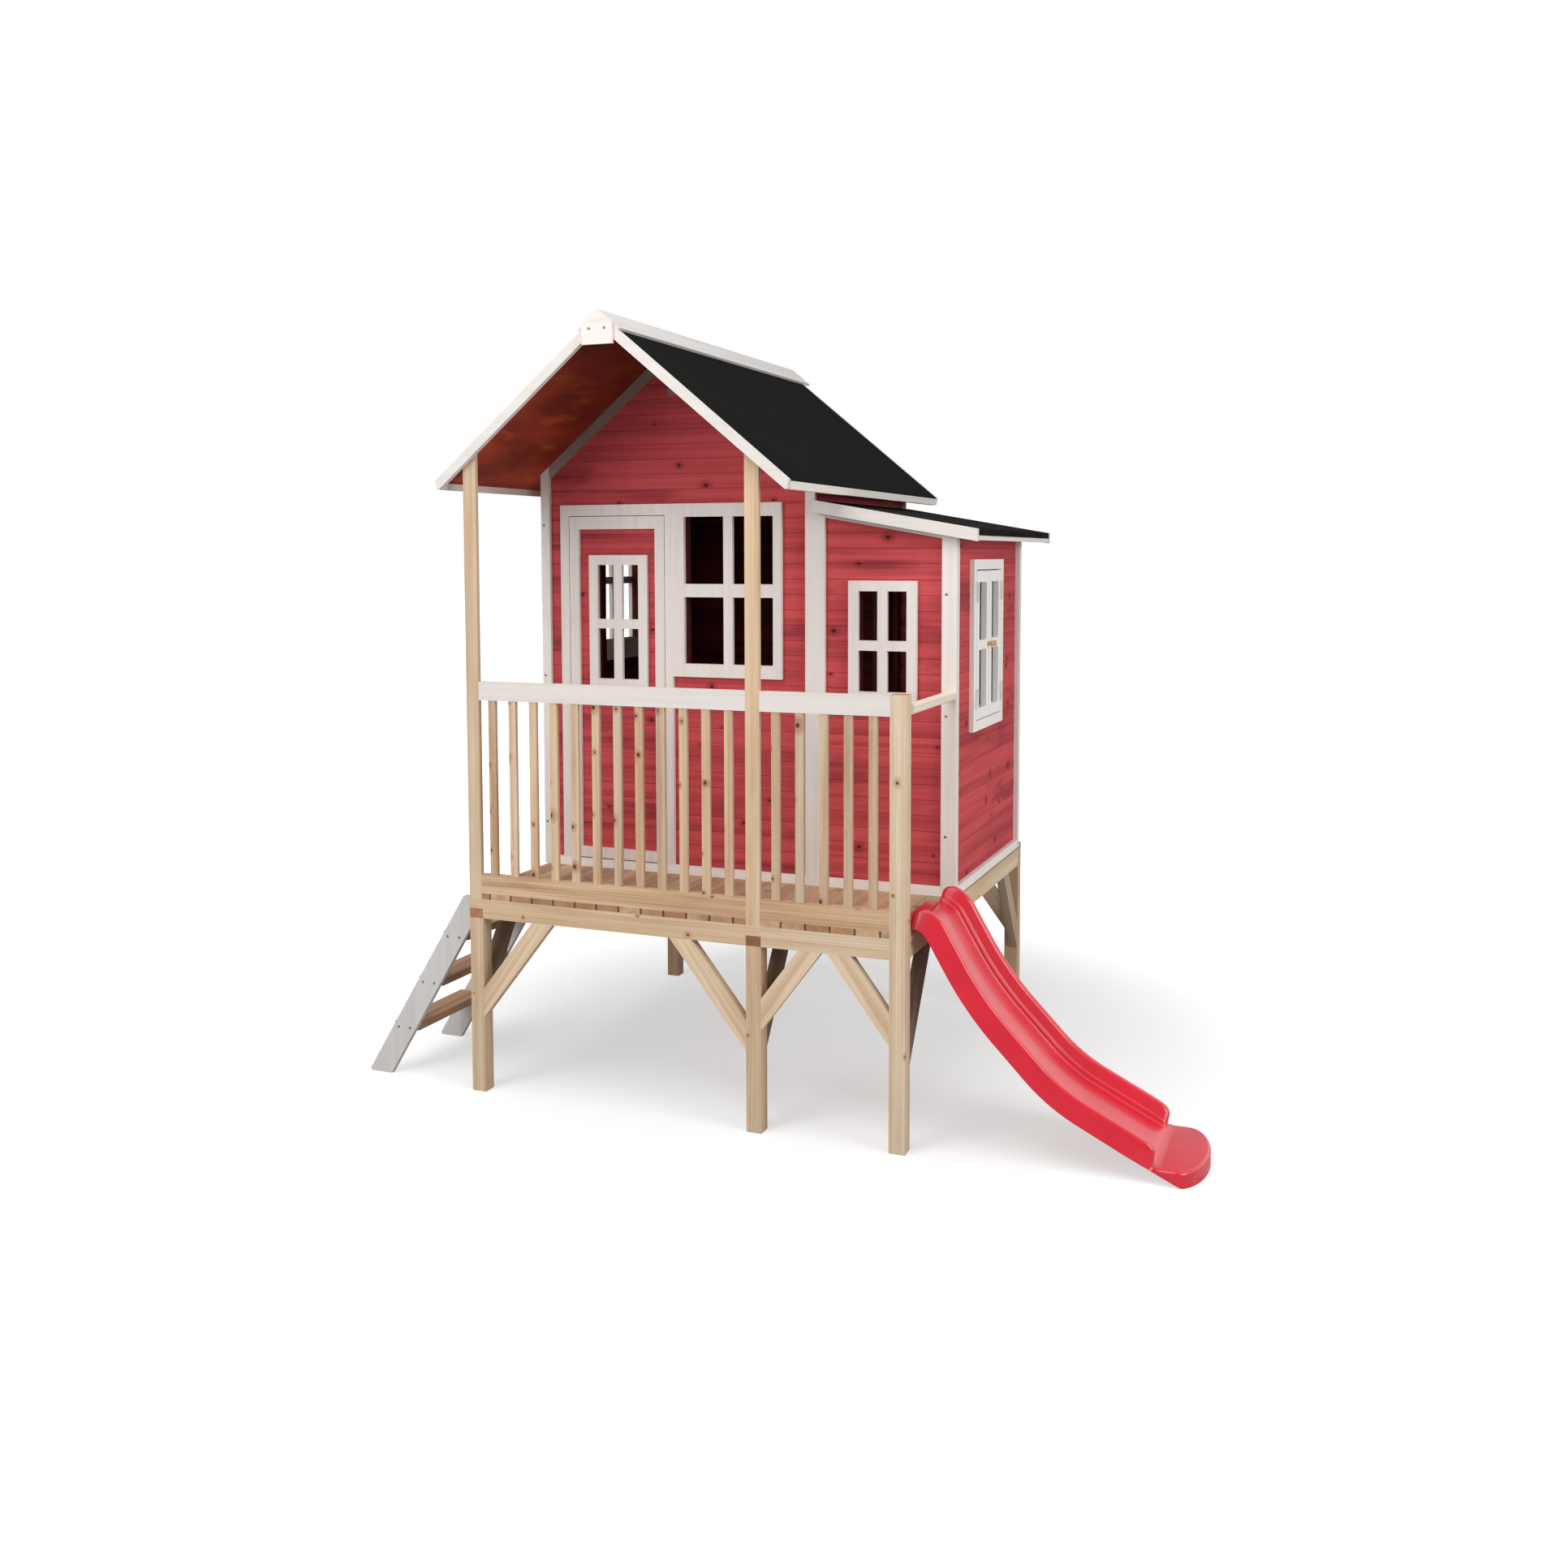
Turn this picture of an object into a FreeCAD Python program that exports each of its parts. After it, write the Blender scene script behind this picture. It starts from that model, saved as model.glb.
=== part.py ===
import FreeCAD, Part
import math
import os
import re
import Sketcher

# A wooden playhouse on a raised stage, with a porch, a gabled cabin, a lean-to side room,
# a leaning ladder on the left and a moulded slide on the right.
# The model is drawn from the outer foot corner of the front left leg: X runs to the right
# along the front, Y runs to the back and Z runs up. The finished pieces are then moved so
# that the origin lies on the ground under the middle of the whole playhouse.

doc = FreeCAD.newDocument("StiltPlayhouse")
sheet = doc.addObject("Spreadsheet::Sheet", "Sizes")

sizes = {
    # The stage: legs, half-lapped beams and the deck boards.
    "leg_side": 45,
    "leg_height": 529,
    "beam_height": 58,
    "deck_thickness": 18,
    "deck_length": 1358,
    "deck_depth": 1373,
    "middle_leg_offset": 20,
    "deck_gap": 2,
    "deck_board_count": 19,

    # The diagonal braces under the beams.
    "brace_width": 54,
    "brace_thickness": 28,
    "long_brace_reach": 236,
    "long_brace_rise": 298,
    "side_brace_reach": 205,
    "side_brace_rise": 292,
    "short_brace_reach": 177,
    "short_brace_rise": 235,

    # The porch: posts, rails, balusters and the bar over the slide's entry.
    "corner_post_rise": 3,
    "porch_post_width": 42,
    "porch_post_depth": 14,
    "top_rail_depth": 28,
    "top_rail_height": 55,
    "top_rail_level": 577,
    "sill_strip_height": 23,
    "bottom_rail_height": 34,
    "bottom_rail_depth": 24,
    "baluster_width": 24,
    "baluster_depth": 12,
    "baluster_setback": 2,
    "left_baluster_count": 12,
    "left_baluster_start": 31,
    "left_baluster_end": 39.9,
    "right_baluster_count": 5,
    "right_baluster_start": 34.5,
    "right_baluster_end": 35.5,
    "entry_bar_side": 26,
    "entry_bar_level": 581,
    "entry_bar_overhang": 8,
    "entry_bar_edge": 4,

    # The cabin walls, their cladding boards, trims and inner studs.
    "board_cover": 93,
    "board_thickness": 14,
    "board_groove": 2,
    "trim_thickness": 14,
    "corner_trim_width": 31,
    "base_trim_height": 27,
    "stud_side": 28,
    "stud_setback": 2,
    "door_stud_setback": 6,
    "door_hole_ease": 0.5,
    "cabin_front": 469,
    "cabin_back": 1371,
    "cabin_left": 3,
    "wall_height": 1295,
    "plate_drop": 68,
    "lean_to_inset": 2,
    "lean_to_width": 439,
    "lean_to_back": 1276,
    "lean_to_plate_drop": 57,
    "passage_start": 92,
    "passage_width": 600,
    "passage_drop": 35,

    # The door, the frame round it and its window.
    "door_left": 92.5,
    "door_width": 336,
    "door_gap": 2,
    "door_lift": 31,
    "door_drop": 101,
    "door_frame_width": 30.5,
    "door_frame_right_width": 26,
    "door_frame_top_width": 35,
    "door_batten_width": 33,
    "door_batten_top_width": 40,
    "door_batten_thickness": 13,
    "door_window_left": 69,
    "door_window_width": 206,
    "door_window_drop": 122,
    "door_window_height": 424,
    "door_window_strip": 31,
    "door_window_bar_level": 206.5,

    # The butt hinges, used on the door and on the side window's leaves.
    "hinge_height": 60,
    "hinge_leaf_width": 20,
    "hinge_leaf_thickness": 2,
    "hinge_barrel_radius": 3.5,
    "hinge_pin_radius": 1.6,
    "hinge_running_gap": 0.05,
    "hinge_knuckle_gap": 0.4,
    "hinge_inset": 110,
    "hinge_stand_off": 0.5,

    # The fixed windows. Places are measured from the deck and from the cabin's left side.
    "window_bar": 30,
    "front_window_left": 454,
    "front_window_margin": 94,
    "front_window_drop": 64,
    "front_window_height": 538,
    "front_window_left_strip": 40,
    "front_window_right_strip": 28,
    "front_window_level_strip": 41,
    "lean_to_window_start": 120,
    "lean_to_window_width": 212,
    "lean_to_window_drop": 108,
    "lean_to_window_height": 361,
    "lean_to_window_bar_drop": 12,
    "small_window_strip": 31,
    "left_window_start": 285,
    "left_window_width": 332,
    "left_window_drop": 75,
    "left_window_height": 472,
    "left_window_bar": 24,
    "sill_rail_height": 68,

    # The side window with its two hinged leaves.
    "side_window_start": 186,
    "side_window_width": 375,
    "side_window_drop": 46,
    "side_window_height": 525,
    "side_window_strip": 31,
    "leaf_gap": 3.5,
    "leaf_thickness": 18,
    "leaf_stile_width": 32,
    "leaf_rail_width": 35,
    "knob_neck_radius": 5,
    "knob_neck_length": 8,
    "knob_radius": 9,
    "knob_length": 12,
    "knob_edge": 3,

    # The main roof and the trims at its gable.
    "roof_pitch": 39.66,
    "ridge_offset": 4,
    "eave_overhang_left": 87,
    "eave_overhang_right": 116,
    "roof_back": 1432,
    "roof_board_thickness": 14,
    "roof_board_count": 8,
    "felt_thickness": 3,
    "barge_thickness": 18,
    "barge_width": 27,
    "barge_end_lean": 4,
    "barge_end_height": 25,
    "fascia_thickness": 18,
    "fascia_height": 26,
    "ridge_cap_width": 80,
    "ridge_cap_thickness": 8,
    "ridge_cap_overhang": 38,
    "gusset_half_width": 48,
    "gusset_drop": 87,
    "gusset_rise": 10,
    "gusset_thickness": 10,
    "gable_trim_width": 29,
    "apex_block_half_width": 19,
    "apex_block_drop": 121,

    # The lean-to roof.
    "lean_to_pitch": 10,
    "lean_to_roof_drop": 134.7,
    "lean_to_roof_reach": 503,
    "lean_to_roof_front": 425,
    "lean_to_roof_board_count": 5,
    "lean_to_barge_height": 36,
    "lean_to_fascia_thickness": 16,
    "lean_to_fascia_height": 30,
    "felt_turn_down": 19,

    # The ladder.
    "ladder_pitch": 58.5,
    "ladder_toe_length": 76,
    "ladder_top_length": 44.835,
    "stringer_width": 70,
    "stringer_thickness": 18,
    "stringer_place": 33,
    "ladder_width": 396,
    "ladder_top_drop": 4,
    "last_step_drop": 152,
    "step_near_screw_share": 0.25,
    "step_far_screw_share": 0.75,
    "step_thickness": 22,
    "step_overhang": 6,
    "step_count": 3,

    # The moulded slide. Levels are measured from the ground, runs along the chute's surface.
    "slide_place": 45,
    "slide_width": 340,
    "slide_wall": 5,
    "slide_chute_width": 224,
    "slide_rail_height": 45,
    "slide_rail_top_width": 20,
    "slide_rail_lean": 26,
    "slide_skirt_lean": 12,
    "slide_skirt_drop": 12,
    "slide_rail_rounding": 9,
    "slide_chute_rounding": 14,
    "slide_lip_rise": 17,
    "slide_lip_length": 38,
    "slide_lip_overlap": 40,
    "slide_top_angle": 60,
    "slide_middle_angle": 46,
    "slide_low_angle": 26.5,
    "slide_top_fall_share": 0.371,
    "slide_middle_fall_share": 0.3917,
    "slide_top_bend": 60,
    "slide_middle_bend": 895,
    "slide_low_bend": 485,
    "slide_nose_reach": 113.4,
    "slide_nose_length": 132,
    "slide_nose_height": 43,
    "slide_nose_width": 330,
    "slide_nose_bulge": 60,
    "slide_nose_corner": 30,
    "slide_nose_edge": 10,
    "slide_nose_foot": 52,
    "slide_panel_depth": 3,
    "slide_panel_margin": 10,
    "slide_panel_width": 240,
    "slide_rail_setback": 10.6,
    "slide_rail_end_radius": 30,
    "slide_entry_length": 40,
    "slide_entry_start": 12,
    "slide_entry_run_share": 0.3,
    "slide_entry_rise_share": 0.68,

    # Round-headed screws that show on the ladder and the gusset.
    "screw_head_radius": 4,
    "screw_head_height": 1.2,
}

for count, (alias, number) in enumerate(sizes.items(), 1):
    sheet.set(f"A{count}", alias)
    sheet.set(f"B{count}", str(number))
    sheet.setAlias(f"B{count}", alias)
doc.recompute()

# Sizes that follow from the driving ones: the cabin stands at the left of the lean-to, the
# roof rises from the walls' height, and doors and windows hang from the wall plates.
following = {
    "deck_top": "(leg_height + beam_height + deck_thickness)",
    "ladder_foot": "((leg_height + beam_height - ladder_top_drop) / tan(ladder_pitch) + ladder_top_length - across_width)",
    "across_width": "(stringer_width / sin(ladder_pitch))",
    "ladder_reach": "(ladder_foot + ladder_toe_length)",
    "step_rise": "((deck_top - last_step_drop) / step_count)",
    "slide_drop": "(deck_top + slide_lip_rise - slide_nose_height)",
    "slide_top_run": "(slide_drop * slide_top_fall_share / tan(slide_top_angle))",
    "slide_middle_run": "(slide_drop * slide_middle_fall_share / tan(slide_middle_angle))",
    "slide_low_run": "(slide_drop * (1 - slide_top_fall_share - slide_middle_fall_share) / tan(slide_low_angle))",
    "slide_run": "(slide_lip_length + slide_top_run + slide_middle_run + slide_low_run + slide_nose_reach)",
    "corner_post_height": "(deck_top + top_rail_level + top_rail_height + corner_post_rise)",
    "lean_to_right": "(deck_length - lean_to_inset)",
    "cabin_right": "(lean_to_right - lean_to_width)",
    "middle_leg_place": "(cabin_right - middle_leg_offset)",
    "ridge_place": "((cabin_left + cabin_right) / 2 + ridge_offset)",
    "ridge_height": "(deck_top + wall_height + (ridge_place - cabin_left) * tan(roof_pitch))",
    "cabin_right_roof": "(ridge_height - (cabin_right - ridge_place) * tan(roof_pitch))",
    "lean_to_roof_height": "(cabin_right_roof - lean_to_roof_drop)",
    "lean_to_fall": "((lean_to_width - trim_thickness) * tan(lean_to_pitch))",
    "plate_level": "(wall_height - plate_drop)",
    "lean_to_plate_level": "(lean_to_roof_height - deck_top - lean_to_fall - lean_to_plate_drop)",
    "passage_height": "(lean_to_plate_level - passage_drop)",
    "door_height": "(plate_level - door_drop - door_lift)",
    "door_window_bottom": "(door_height - door_window_drop - door_window_height)",
    "front_window_width": "(cabin_right - front_window_margin - cabin_left - front_window_left)",
    "front_window_bottom": "(plate_level - front_window_drop - front_window_height)",
    "lean_to_window_left": "(cabin_right + lean_to_window_start - cabin_left)",
    "lean_to_window_bottom": "(lean_to_plate_level - lean_to_window_drop - lean_to_window_height)",
    "left_window_bottom": "(plate_level - left_window_drop - left_window_height)",
    "side_window_bottom": "(lean_to_plate_level - side_window_drop - side_window_height)",
}


def bind(thing, field, formula):
    """Tie one field to a formula written with the sheet's aliases."""
    def full(word):
        name = word.group()
        if name in following:
            return re.sub(r"[a-z_]+", full, following[name])
        return "Sizes." + name if name in sizes else name
    thing.setExpression(field, re.sub(r"[a-z_]+", full, str(formula)))


def bar(label, corner, extent):
    """A squared bar from its lowest corner, with its lengths along X, Y and Z."""
    box = doc.addObject("Part::Box", label)
    for axis, place in zip("xyz", corner):
        bind(box, "Placement.Base." + axis, place)
    for side, length in zip(("Length", "Width", "Height"), extent):
        bind(box, side, length)
    return box


def rod(label, centre, radius, height, turned=None):
    """A round bar standing on its centre, or lying along X or Y."""
    cylinder = doc.addObject("Part::Cylinder", label)
    if turned == "X":
        cylinder.Placement = FreeCAD.Placement(FreeCAD.Vector(), FreeCAD.Vector(0, 1, 0), 90)
    if turned == "Y":
        cylinder.Placement = FreeCAD.Placement(FreeCAD.Vector(), FreeCAD.Vector(1, 0, 0), 90)
    for axis, place in zip("xyz", centre):
        bind(cylinder, "Placement.Base." + axis, place)
    bind(cylinder, "Radius", radius)
    bind(cylinder, "Height", height)
    return cylinder


def outline(label, plane, corners, start, thickness):
    """A sawn piece: straight-edged outline in the XZ, YZ or XY plane, padded square to it."""
    body = doc.addObject("PartDesign::Body", label)
    sketch = body.newObject("Sketcher::SketchObject", label + "_outline")
    role = plane + "_Plane"
    side = [item for item in body.Origin.OriginFeatures if item.Role == role][0]
    sketch.AttachmentSupport = (side, [""])
    sketch.MapMode = "FlatFace"
    if plane == "XZ":
        bind(sketch, "AttachmentOffset.Base.z", f"0 - ({start}) - ({thickness})")
    else:
        bind(sketch, "AttachmentOffset.Base.z", start)
    count = len(corners)
    for index in range(count):
        after = (index + 1) % count
        near = FreeCAD.Vector(index, index * index + 1, 0)
        far = FreeCAD.Vector(after, after * after + 1, 0)
        sketch.addGeometry(Part.LineSegment(near, far), False)
    for index in range(count):
        sketch.addConstraint(Sketcher.Constraint("Coincident", index, 2, (index + 1) % count, 1))
    for index, (across, up) in enumerate(corners):
        for kind, formula in (("DistanceX", across), ("DistanceY", up)):
            rule = sketch.addConstraint(Sketcher.Constraint(kind, -1, 1, index, 1, 1.0))
            bind(sketch, f"Constraints[{rule}]", formula)
    pad = body.newObject("PartDesign::Pad", label + "_pad")
    pad.Profile = sketch
    bind(pad, "Length", thickness)
    return body


def together(label, pieces):
    """Several separate solids kept as one object."""
    group = doc.addObject("Part::Compound", label)
    group.Links = pieces
    return group


def without(label, base, hollows):
    """The base with the hollows' shapes taken out of it."""
    cut = doc.addObject("Part::Cut", label)
    cut.Base = base
    cut.Tool = hollows[0] if len(hollows) == 1 else together(label + "_hollows", hollows)
    return cut


def within(label, base, space):
    """The part of the base that lies inside a space."""
    common = doc.addObject("Part::Common", label)
    common.Base = base
    common.Tool = space
    return common


def joined(label, base, tool):
    """Two shapes fused into one solid."""
    fuse = doc.addObject("Part::Fuse", label)
    fuse.Base = base
    fuse.Tool = tool
    return fuse


# Whole widths and middles that the finished pieces are moved by.
front_overhang = "(barge_thickness + gusset_thickness)"
ridge_cap_end = "(roof_back + ridge_cap_overhang)"
middle_across = "((deck_length + slide_run - ladder_reach) / 2)"
middle_deep = f"(({ridge_cap_end} - {front_overhang} - screw_head_height) / 2)"

nodes = []


def finish(node, pieces):
    """One named sub-part: its solids in one object with its own placement."""
    group = together(node, pieces)
    group.Label = node
    bind(group, "Placement.Base.x", f"0 - {middle_across}")
    bind(group, "Placement.Base.y", f"0 - {middle_deep}")
    nodes.append(group)
    return group


# Levels and lines that many pieces share.
deck_top = "deck_top"
beam_top = "(leg_height + beam_height)"
lap_level = "(leg_height + beam_height / 2)"
back_leg_place = "(deck_depth - leg_side)"
right_leg_place = "(deck_length - leg_side)"
ridge_place = "ridge_place"
trim_front = "(cabin_front - trim_thickness)"
roof_build = "(roof_board_thickness + felt_thickness)"


def roof_line(place, depth, side):
    """Height of a line that lies square under the main roof's top face by a depth."""
    drop = f"({ridge_place} - ({place}))" if side == "left" else f"(({place}) - {ridge_place})"
    return f"(ridge_height - ({depth}) / cos(roof_pitch) - {drop} * tan(roof_pitch))"


def lean_to_line(place, depth):
    """Height of a line that lies square under the lean-to roof's top face by a depth."""
    run = f"(({place}) - {lean_to_start})"
    return f"(lean_to_roof_height - ({depth}) / cos(lean_to_pitch) - {run} * tan(lean_to_pitch))"


lean_to_start = "(cabin_right + trim_thickness)"

# LEGS. Four legs stop under the half-lapped beams, the back right one stops under the deck,
# and the front right one runs on up as the post of the porch rail.
leg_places = {
    "front_left_leg": ("0", "0", "leg_height"),
    "front_middle_leg": ("middle_leg_place", "0", "leg_height"),
    "front_right_post": (right_leg_place, "0", "corner_post_height"),
    "back_left_leg": ("0", back_leg_place, "leg_height"),
    "back_middle_leg": ("middle_leg_place", back_leg_place, "leg_height"),
    "back_right_leg": (right_leg_place, back_leg_place, beam_top),
}
for node, (across, deep, tall) in leg_places.items():
    leg = bar(node + "_bar", (across, deep, "0"), ("leg_side", "leg_side", tall))
    finish(node, [leg])

# BEAMS. The front and back beams keep their upper half over the legs, the beams that run
# to the back keep their lower half, so that each pair laps in one beam's height.
middle_leg_end = "(middle_leg_place + leg_side)"


def lap(label, across, deep, level):
    """The block that one half of a lap leaves free."""
    return bar(label, (across, deep, level), ("leg_side", "leg_side", "beam_height / 2"))


front_bar = bar("front_beam_bar", ("0", "0", "leg_height"), (middle_leg_end, "leg_side", "beam_height"))
front_laps = [
    lap("front_left_lap", "0", "0", "leg_height"),
    lap("front_middle_lap", "middle_leg_place", "0", "leg_height"),
]
finish("front_beam_long", [without("front_beam_lapped", front_bar, front_laps)])

short_run = f"({right_leg_place} - {middle_leg_end})"
finish("front_beam_short", [
    bar("front_short_bar", (middle_leg_end, "0", "leg_height"), (short_run, "leg_side", "beam_height")),
])

back_bar = bar("back_beam_bar", ("0", back_leg_place, "leg_height"), (right_leg_place, "leg_side", "beam_height"))
back_laps = [
    lap("back_left_lap", "0", back_leg_place, "leg_height"),
    lap("back_middle_lap", "middle_leg_place", back_leg_place, "leg_height"),
]
finish("back_beam", [without("back_beam_lapped", back_bar, back_laps)])

for node, across in (("left_side_beam", "0"), ("middle_beam", "middle_leg_place")):
    beam = bar(node + "_bar", (across, "0", "leg_height"), ("leg_side", "deck_depth", "beam_height"))
    laps = [
        lap(node + "_front_lap", across, "0", lap_level),
        lap(node + "_back_lap", across, back_leg_place, lap_level),
    ]
    finish(node, [without(node + "_lapped", beam, laps)])

finish("right_side_beam", [
    bar("right_side_bar", (right_leg_place, "leg_side", "leg_height"),
        ("leg_side", f"({back_leg_place} - leg_side)", "beam_height")),
])

# LEG BRACES. Each is a sawn parallelogram between a leg's side and a beam's underside.
middle_brace_place = f"({middle_leg_end} - brace_thickness)"
brace_plans = [
    ("XZ", "leg_side", 1, "0", "long"),
    ("XZ", "middle_leg_place", -1, "0", "long"),
    ("XZ", middle_leg_end, 1, "0", "short"),
    ("XZ", right_leg_place, -1, "0", "short"),
    ("XZ", "leg_side", 1, "deck_depth - brace_thickness", "long"),
    ("XZ", "middle_leg_place", -1, "deck_depth - brace_thickness", "long"),
    ("XZ", middle_leg_end, 1, "deck_depth - brace_thickness", "short"),
    ("XZ", right_leg_place, -1, "deck_depth - brace_thickness", "short"),
    ("YZ", "leg_side", 1, "0", "side"),
    ("YZ", back_leg_place, -1, "0", "side"),
    ("YZ", "leg_side", 1, middle_brace_place, "side"),
    ("YZ", back_leg_place, -1, middle_brace_place, "side"),
    ("YZ", "leg_side", 1, "deck_length - brace_thickness", "side"),
    ("YZ", back_leg_place, -1, "deck_length - brace_thickness", "side"),
]
braces = []
for index, (plane, leg_face, way, start, kind) in enumerate(brace_plans):
    reach = kind + "_brace_reach"
    rise = kind + "_brace_rise"
    length = f"sqrt({reach} * {reach} + {rise} * {rise})"
    along_leg = f"(brace_width * {length} / {reach})"
    along_beam = f"(brace_width * {length} / {rise})"
    corners = [
        (leg_face, f"leg_height - {rise}"),
        (f"{leg_face} + {way} * {reach}", "leg_height"),
        (f"{leg_face} + {way} * ({reach} - {along_beam})", "leg_height"),
        (leg_face, f"leg_height - {rise} + {along_leg}"),
    ]
    braces.append(outline(f"brace_{index}", plane, corners, start, "brace_thickness"))
finish("leg_braces", braces)

# PORCH POSTS. Flat posts that stand on the front beam and end under the roof's slope.
posts = []
post_blocks = []
for index, across in enumerate(("0", "middle_leg_place")):
    side = "left" if index == 0 else "right"
    far = f"({across} + porch_post_width)"
    corners = [
        (across, beam_top),
        (far, beam_top),
        (far, roof_line(far, roof_build, side)),
        (across, roof_line(across, roof_build, side)),
    ]
    posts.append(outline(f"porch_post_{index}", "XZ", corners, "0", "porch_post_depth"))
    post_blocks.append(bar(f"porch_post_{index}_block", (across, "0", beam_top),
                           ("porch_post_width", "porch_post_depth", "deck_thickness")))
finish("porch_posts", posts)

# DECK BOARDS. They run from the front to the back and are notched round the posts.
deck_board = "((deck_length - (deck_board_count - 1) * deck_gap) / deck_board_count)"
boards = []
for index in range(int(sizes["deck_board_count"])):
    across = f"{index} * ({deck_board} + deck_gap)"
    boards.append(bar(f"deck_board_{index}", (across, "0", beam_top),
                      (deck_board, "deck_depth", "deck_thickness")))
corner_block = bar("corner_post_block", (right_leg_place, "0", beam_top),
                   ("leg_side", "leg_side", "deck_thickness"))
finish("deck_boards", [without("deck_notched", together("deck_whole", boards), post_blocks + [corner_block])])

# PORCH RAILS. White top rails, plain bottom rails on sill strips, and square balusters.
rail_level = f"({deck_top} + top_rail_level)"
bottom_level = f"({deck_top} + sill_strip_height)"
baluster_level = f"({bottom_level} + bottom_rail_height)"
bays = [
    ("left", "porch_post_width", "middle_leg_place"),
    ("right", "(middle_leg_place + porch_post_width)", right_leg_place),
]
top_rails = []
bottom_rails = []
balusters = []
for side, start, end in bays:
    run = f"({end} - {start})"
    top_rails.append(bar(side + "_top_rail", (start, "0", rail_level),
                         (run, "top_rail_depth", "top_rail_height")))
    bottom_rails.append(bar(side + "_sill_strip", (start, "0", deck_top),
                            (run, "bottom_rail_depth", "sill_strip_height")))
    bottom_rails.append(bar(side + "_bottom_rail", (start, "0", bottom_level),
                            (run, "bottom_rail_depth", "bottom_rail_height")))
    number = f"{side}_baluster_count"
    first = f"({start} + {side}_baluster_start)"
    span = f"({run} - {side}_baluster_start - {side}_baluster_end - baluster_width)"
    pitch = f"({span} / ({number} - 1))"
    for index in range(int(sizes[number])):
        place = (f"{first} + {index} * {pitch}", "baluster_setback", baluster_level)
        tall = f"{rail_level} - {baluster_level}"
        balusters.append(bar(f"{side}_baluster_{index}", place, ("baluster_width", "baluster_depth", tall)))
finish("top_rails", top_rails)
finish("bottom_rails", bottom_rails)
finish("balusters", balusters)

# SLIDE ENTRY BAR. A batten with eased edges from the corner post to the lean-to's corner.
entry_bar = bar("entry_bar_blank",
                ("deck_length + entry_bar_overhang - entry_bar_side", "leg_side", f"{deck_top} + entry_bar_level"),
                ("entry_bar_side", f"{trim_front} - leg_side", "entry_bar_side"))
doc.recompute()
eased = doc.addObject("Part::Chamfer", "entry_bar_eased")
eased.Base = entry_bar
ease = sizes["entry_bar_edge"]
long_edges = []
for index, edge in enumerate(entry_bar.Shape.Edges, 1):
    run = edge.Vertexes[-1].Point - edge.Vertexes[0].Point
    if abs(run.y) > abs(run.x) + abs(run.z):
        long_edges.append((index, ease, ease))
eased.Edges = long_edges
finish("slide_entry_bar", [eased])


# Where the openings lie.
door_bottom = f"({deck_top} + door_lift)"
door_right = "(door_left + door_width)"
door_hole_left = "(door_left - door_gap)"
door_hole_right = f"({door_right} + door_gap + door_hole_ease)"
door_hole_top = f"({door_bottom} + door_height + door_gap)"
front_pane_left = "(cabin_left + front_window_left + front_window_left_strip)"
front_pane_right = "(cabin_left + front_window_left + front_window_width - front_window_right_strip)"
front_pane_low = f"({deck_top} + front_window_bottom + front_window_level_strip)"
front_pane_high = f"({deck_top} + front_window_bottom + front_window_height - front_window_level_strip)"
small_pane_left = "(cabin_left + lean_to_window_left + small_window_strip)"
small_pane_right = "(cabin_left + lean_to_window_left + lean_to_window_width - small_window_strip)"
small_pane_low = f"({deck_top} + lean_to_window_bottom + small_window_strip)"
small_pane_high = f"({deck_top} + lean_to_window_bottom + lean_to_window_height - small_window_strip)"
left_pane_start = "(cabin_front + left_window_start + small_window_strip)"
left_pane_end = "(cabin_front + left_window_start + left_window_width - small_window_strip)"
left_pane_low = f"({deck_top} + left_window_bottom + small_window_strip)"
left_pane_high = f"({deck_top} + left_window_bottom + left_window_height - small_window_strip)"
side_hole_start = "(cabin_front + side_window_start + side_window_strip)"
side_hole_end = "(cabin_front + side_window_start + side_window_width - side_window_strip)"
side_hole_low = f"({deck_top} + side_window_bottom + side_window_strip)"
side_hole_high = f"({deck_top} + side_window_bottom + side_window_height - side_window_strip)"


def hole(label, low, high):
    """A squared hole between two corners."""
    return bar(label, low, tuple(f"({b}) - ({a})" for a, b in zip(low, high)))


# CLADDING. Each board has a bevel along both edges and a groove along its middle, so that
# the joints between boards and the grooves in them look alike. Boards under a roof are cut
# to its slope, and boards that meet an opening are cut round it.
floor_level = sum(sizes[name] for name in ("leg_height", "beam_height", "deck_thickness"))


def cladding(label, plane, face, inward, start, length, space, holes):
    """A stack of boards with their show face on one plane and their backs inward of it."""
    doc.recompute()
    levels = sorted({round(vertex.Z, 3) for vertex in space.Shape.Vertexes})
    lowest, square_top, highest = levels[0], levels[1], levels[-1]
    stack = []
    back = f"({face} + {inward} * board_thickness)"
    root = f"({face} + {inward} * board_groove)"
    cover = sizes["board_cover"]
    for index in range(math.ceil((highest - floor_level) / cover)):
        low = f"({deck_top} + {index} * board_cover)"
        high = f"({deck_top} + {index + 1} * board_cover)"
        middle = f"({low} + board_cover / 2)"
        corners = [
            (back, low),
            (root, low),
            (face, f"{low} + board_groove"),
            (face, f"{middle} - board_groove"),
            (root, middle),
            (face, f"{middle} + board_groove"),
            (face, f"{high} - board_groove"),
            (root, high),
            (back, high),
        ]
        board = outline(f"{label}_{index}", plane, corners, start, length)
        board_low = floor_level + index * cover
        board_high = board_low + cover
        if board_low < lowest or board_high > square_top:
            board = within(f"{label}_{index}_fitted", board, space)
        for opening in holes:
            reach = opening.Shape.BoundBox
            if reach.ZMin < board_high and reach.ZMax > board_low:
                board = without(f"{label}_{index}_{opening.Label}", board, [opening])
        stack.append(board)
    return stack


cabin_length = "(cabin_right - cabin_left)"
cabin_depth = "(cabin_back - cabin_front)"
side_start = "(cabin_front + board_thickness)"
side_depth = "(cabin_back - cabin_front - 2 * board_thickness)"

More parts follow.
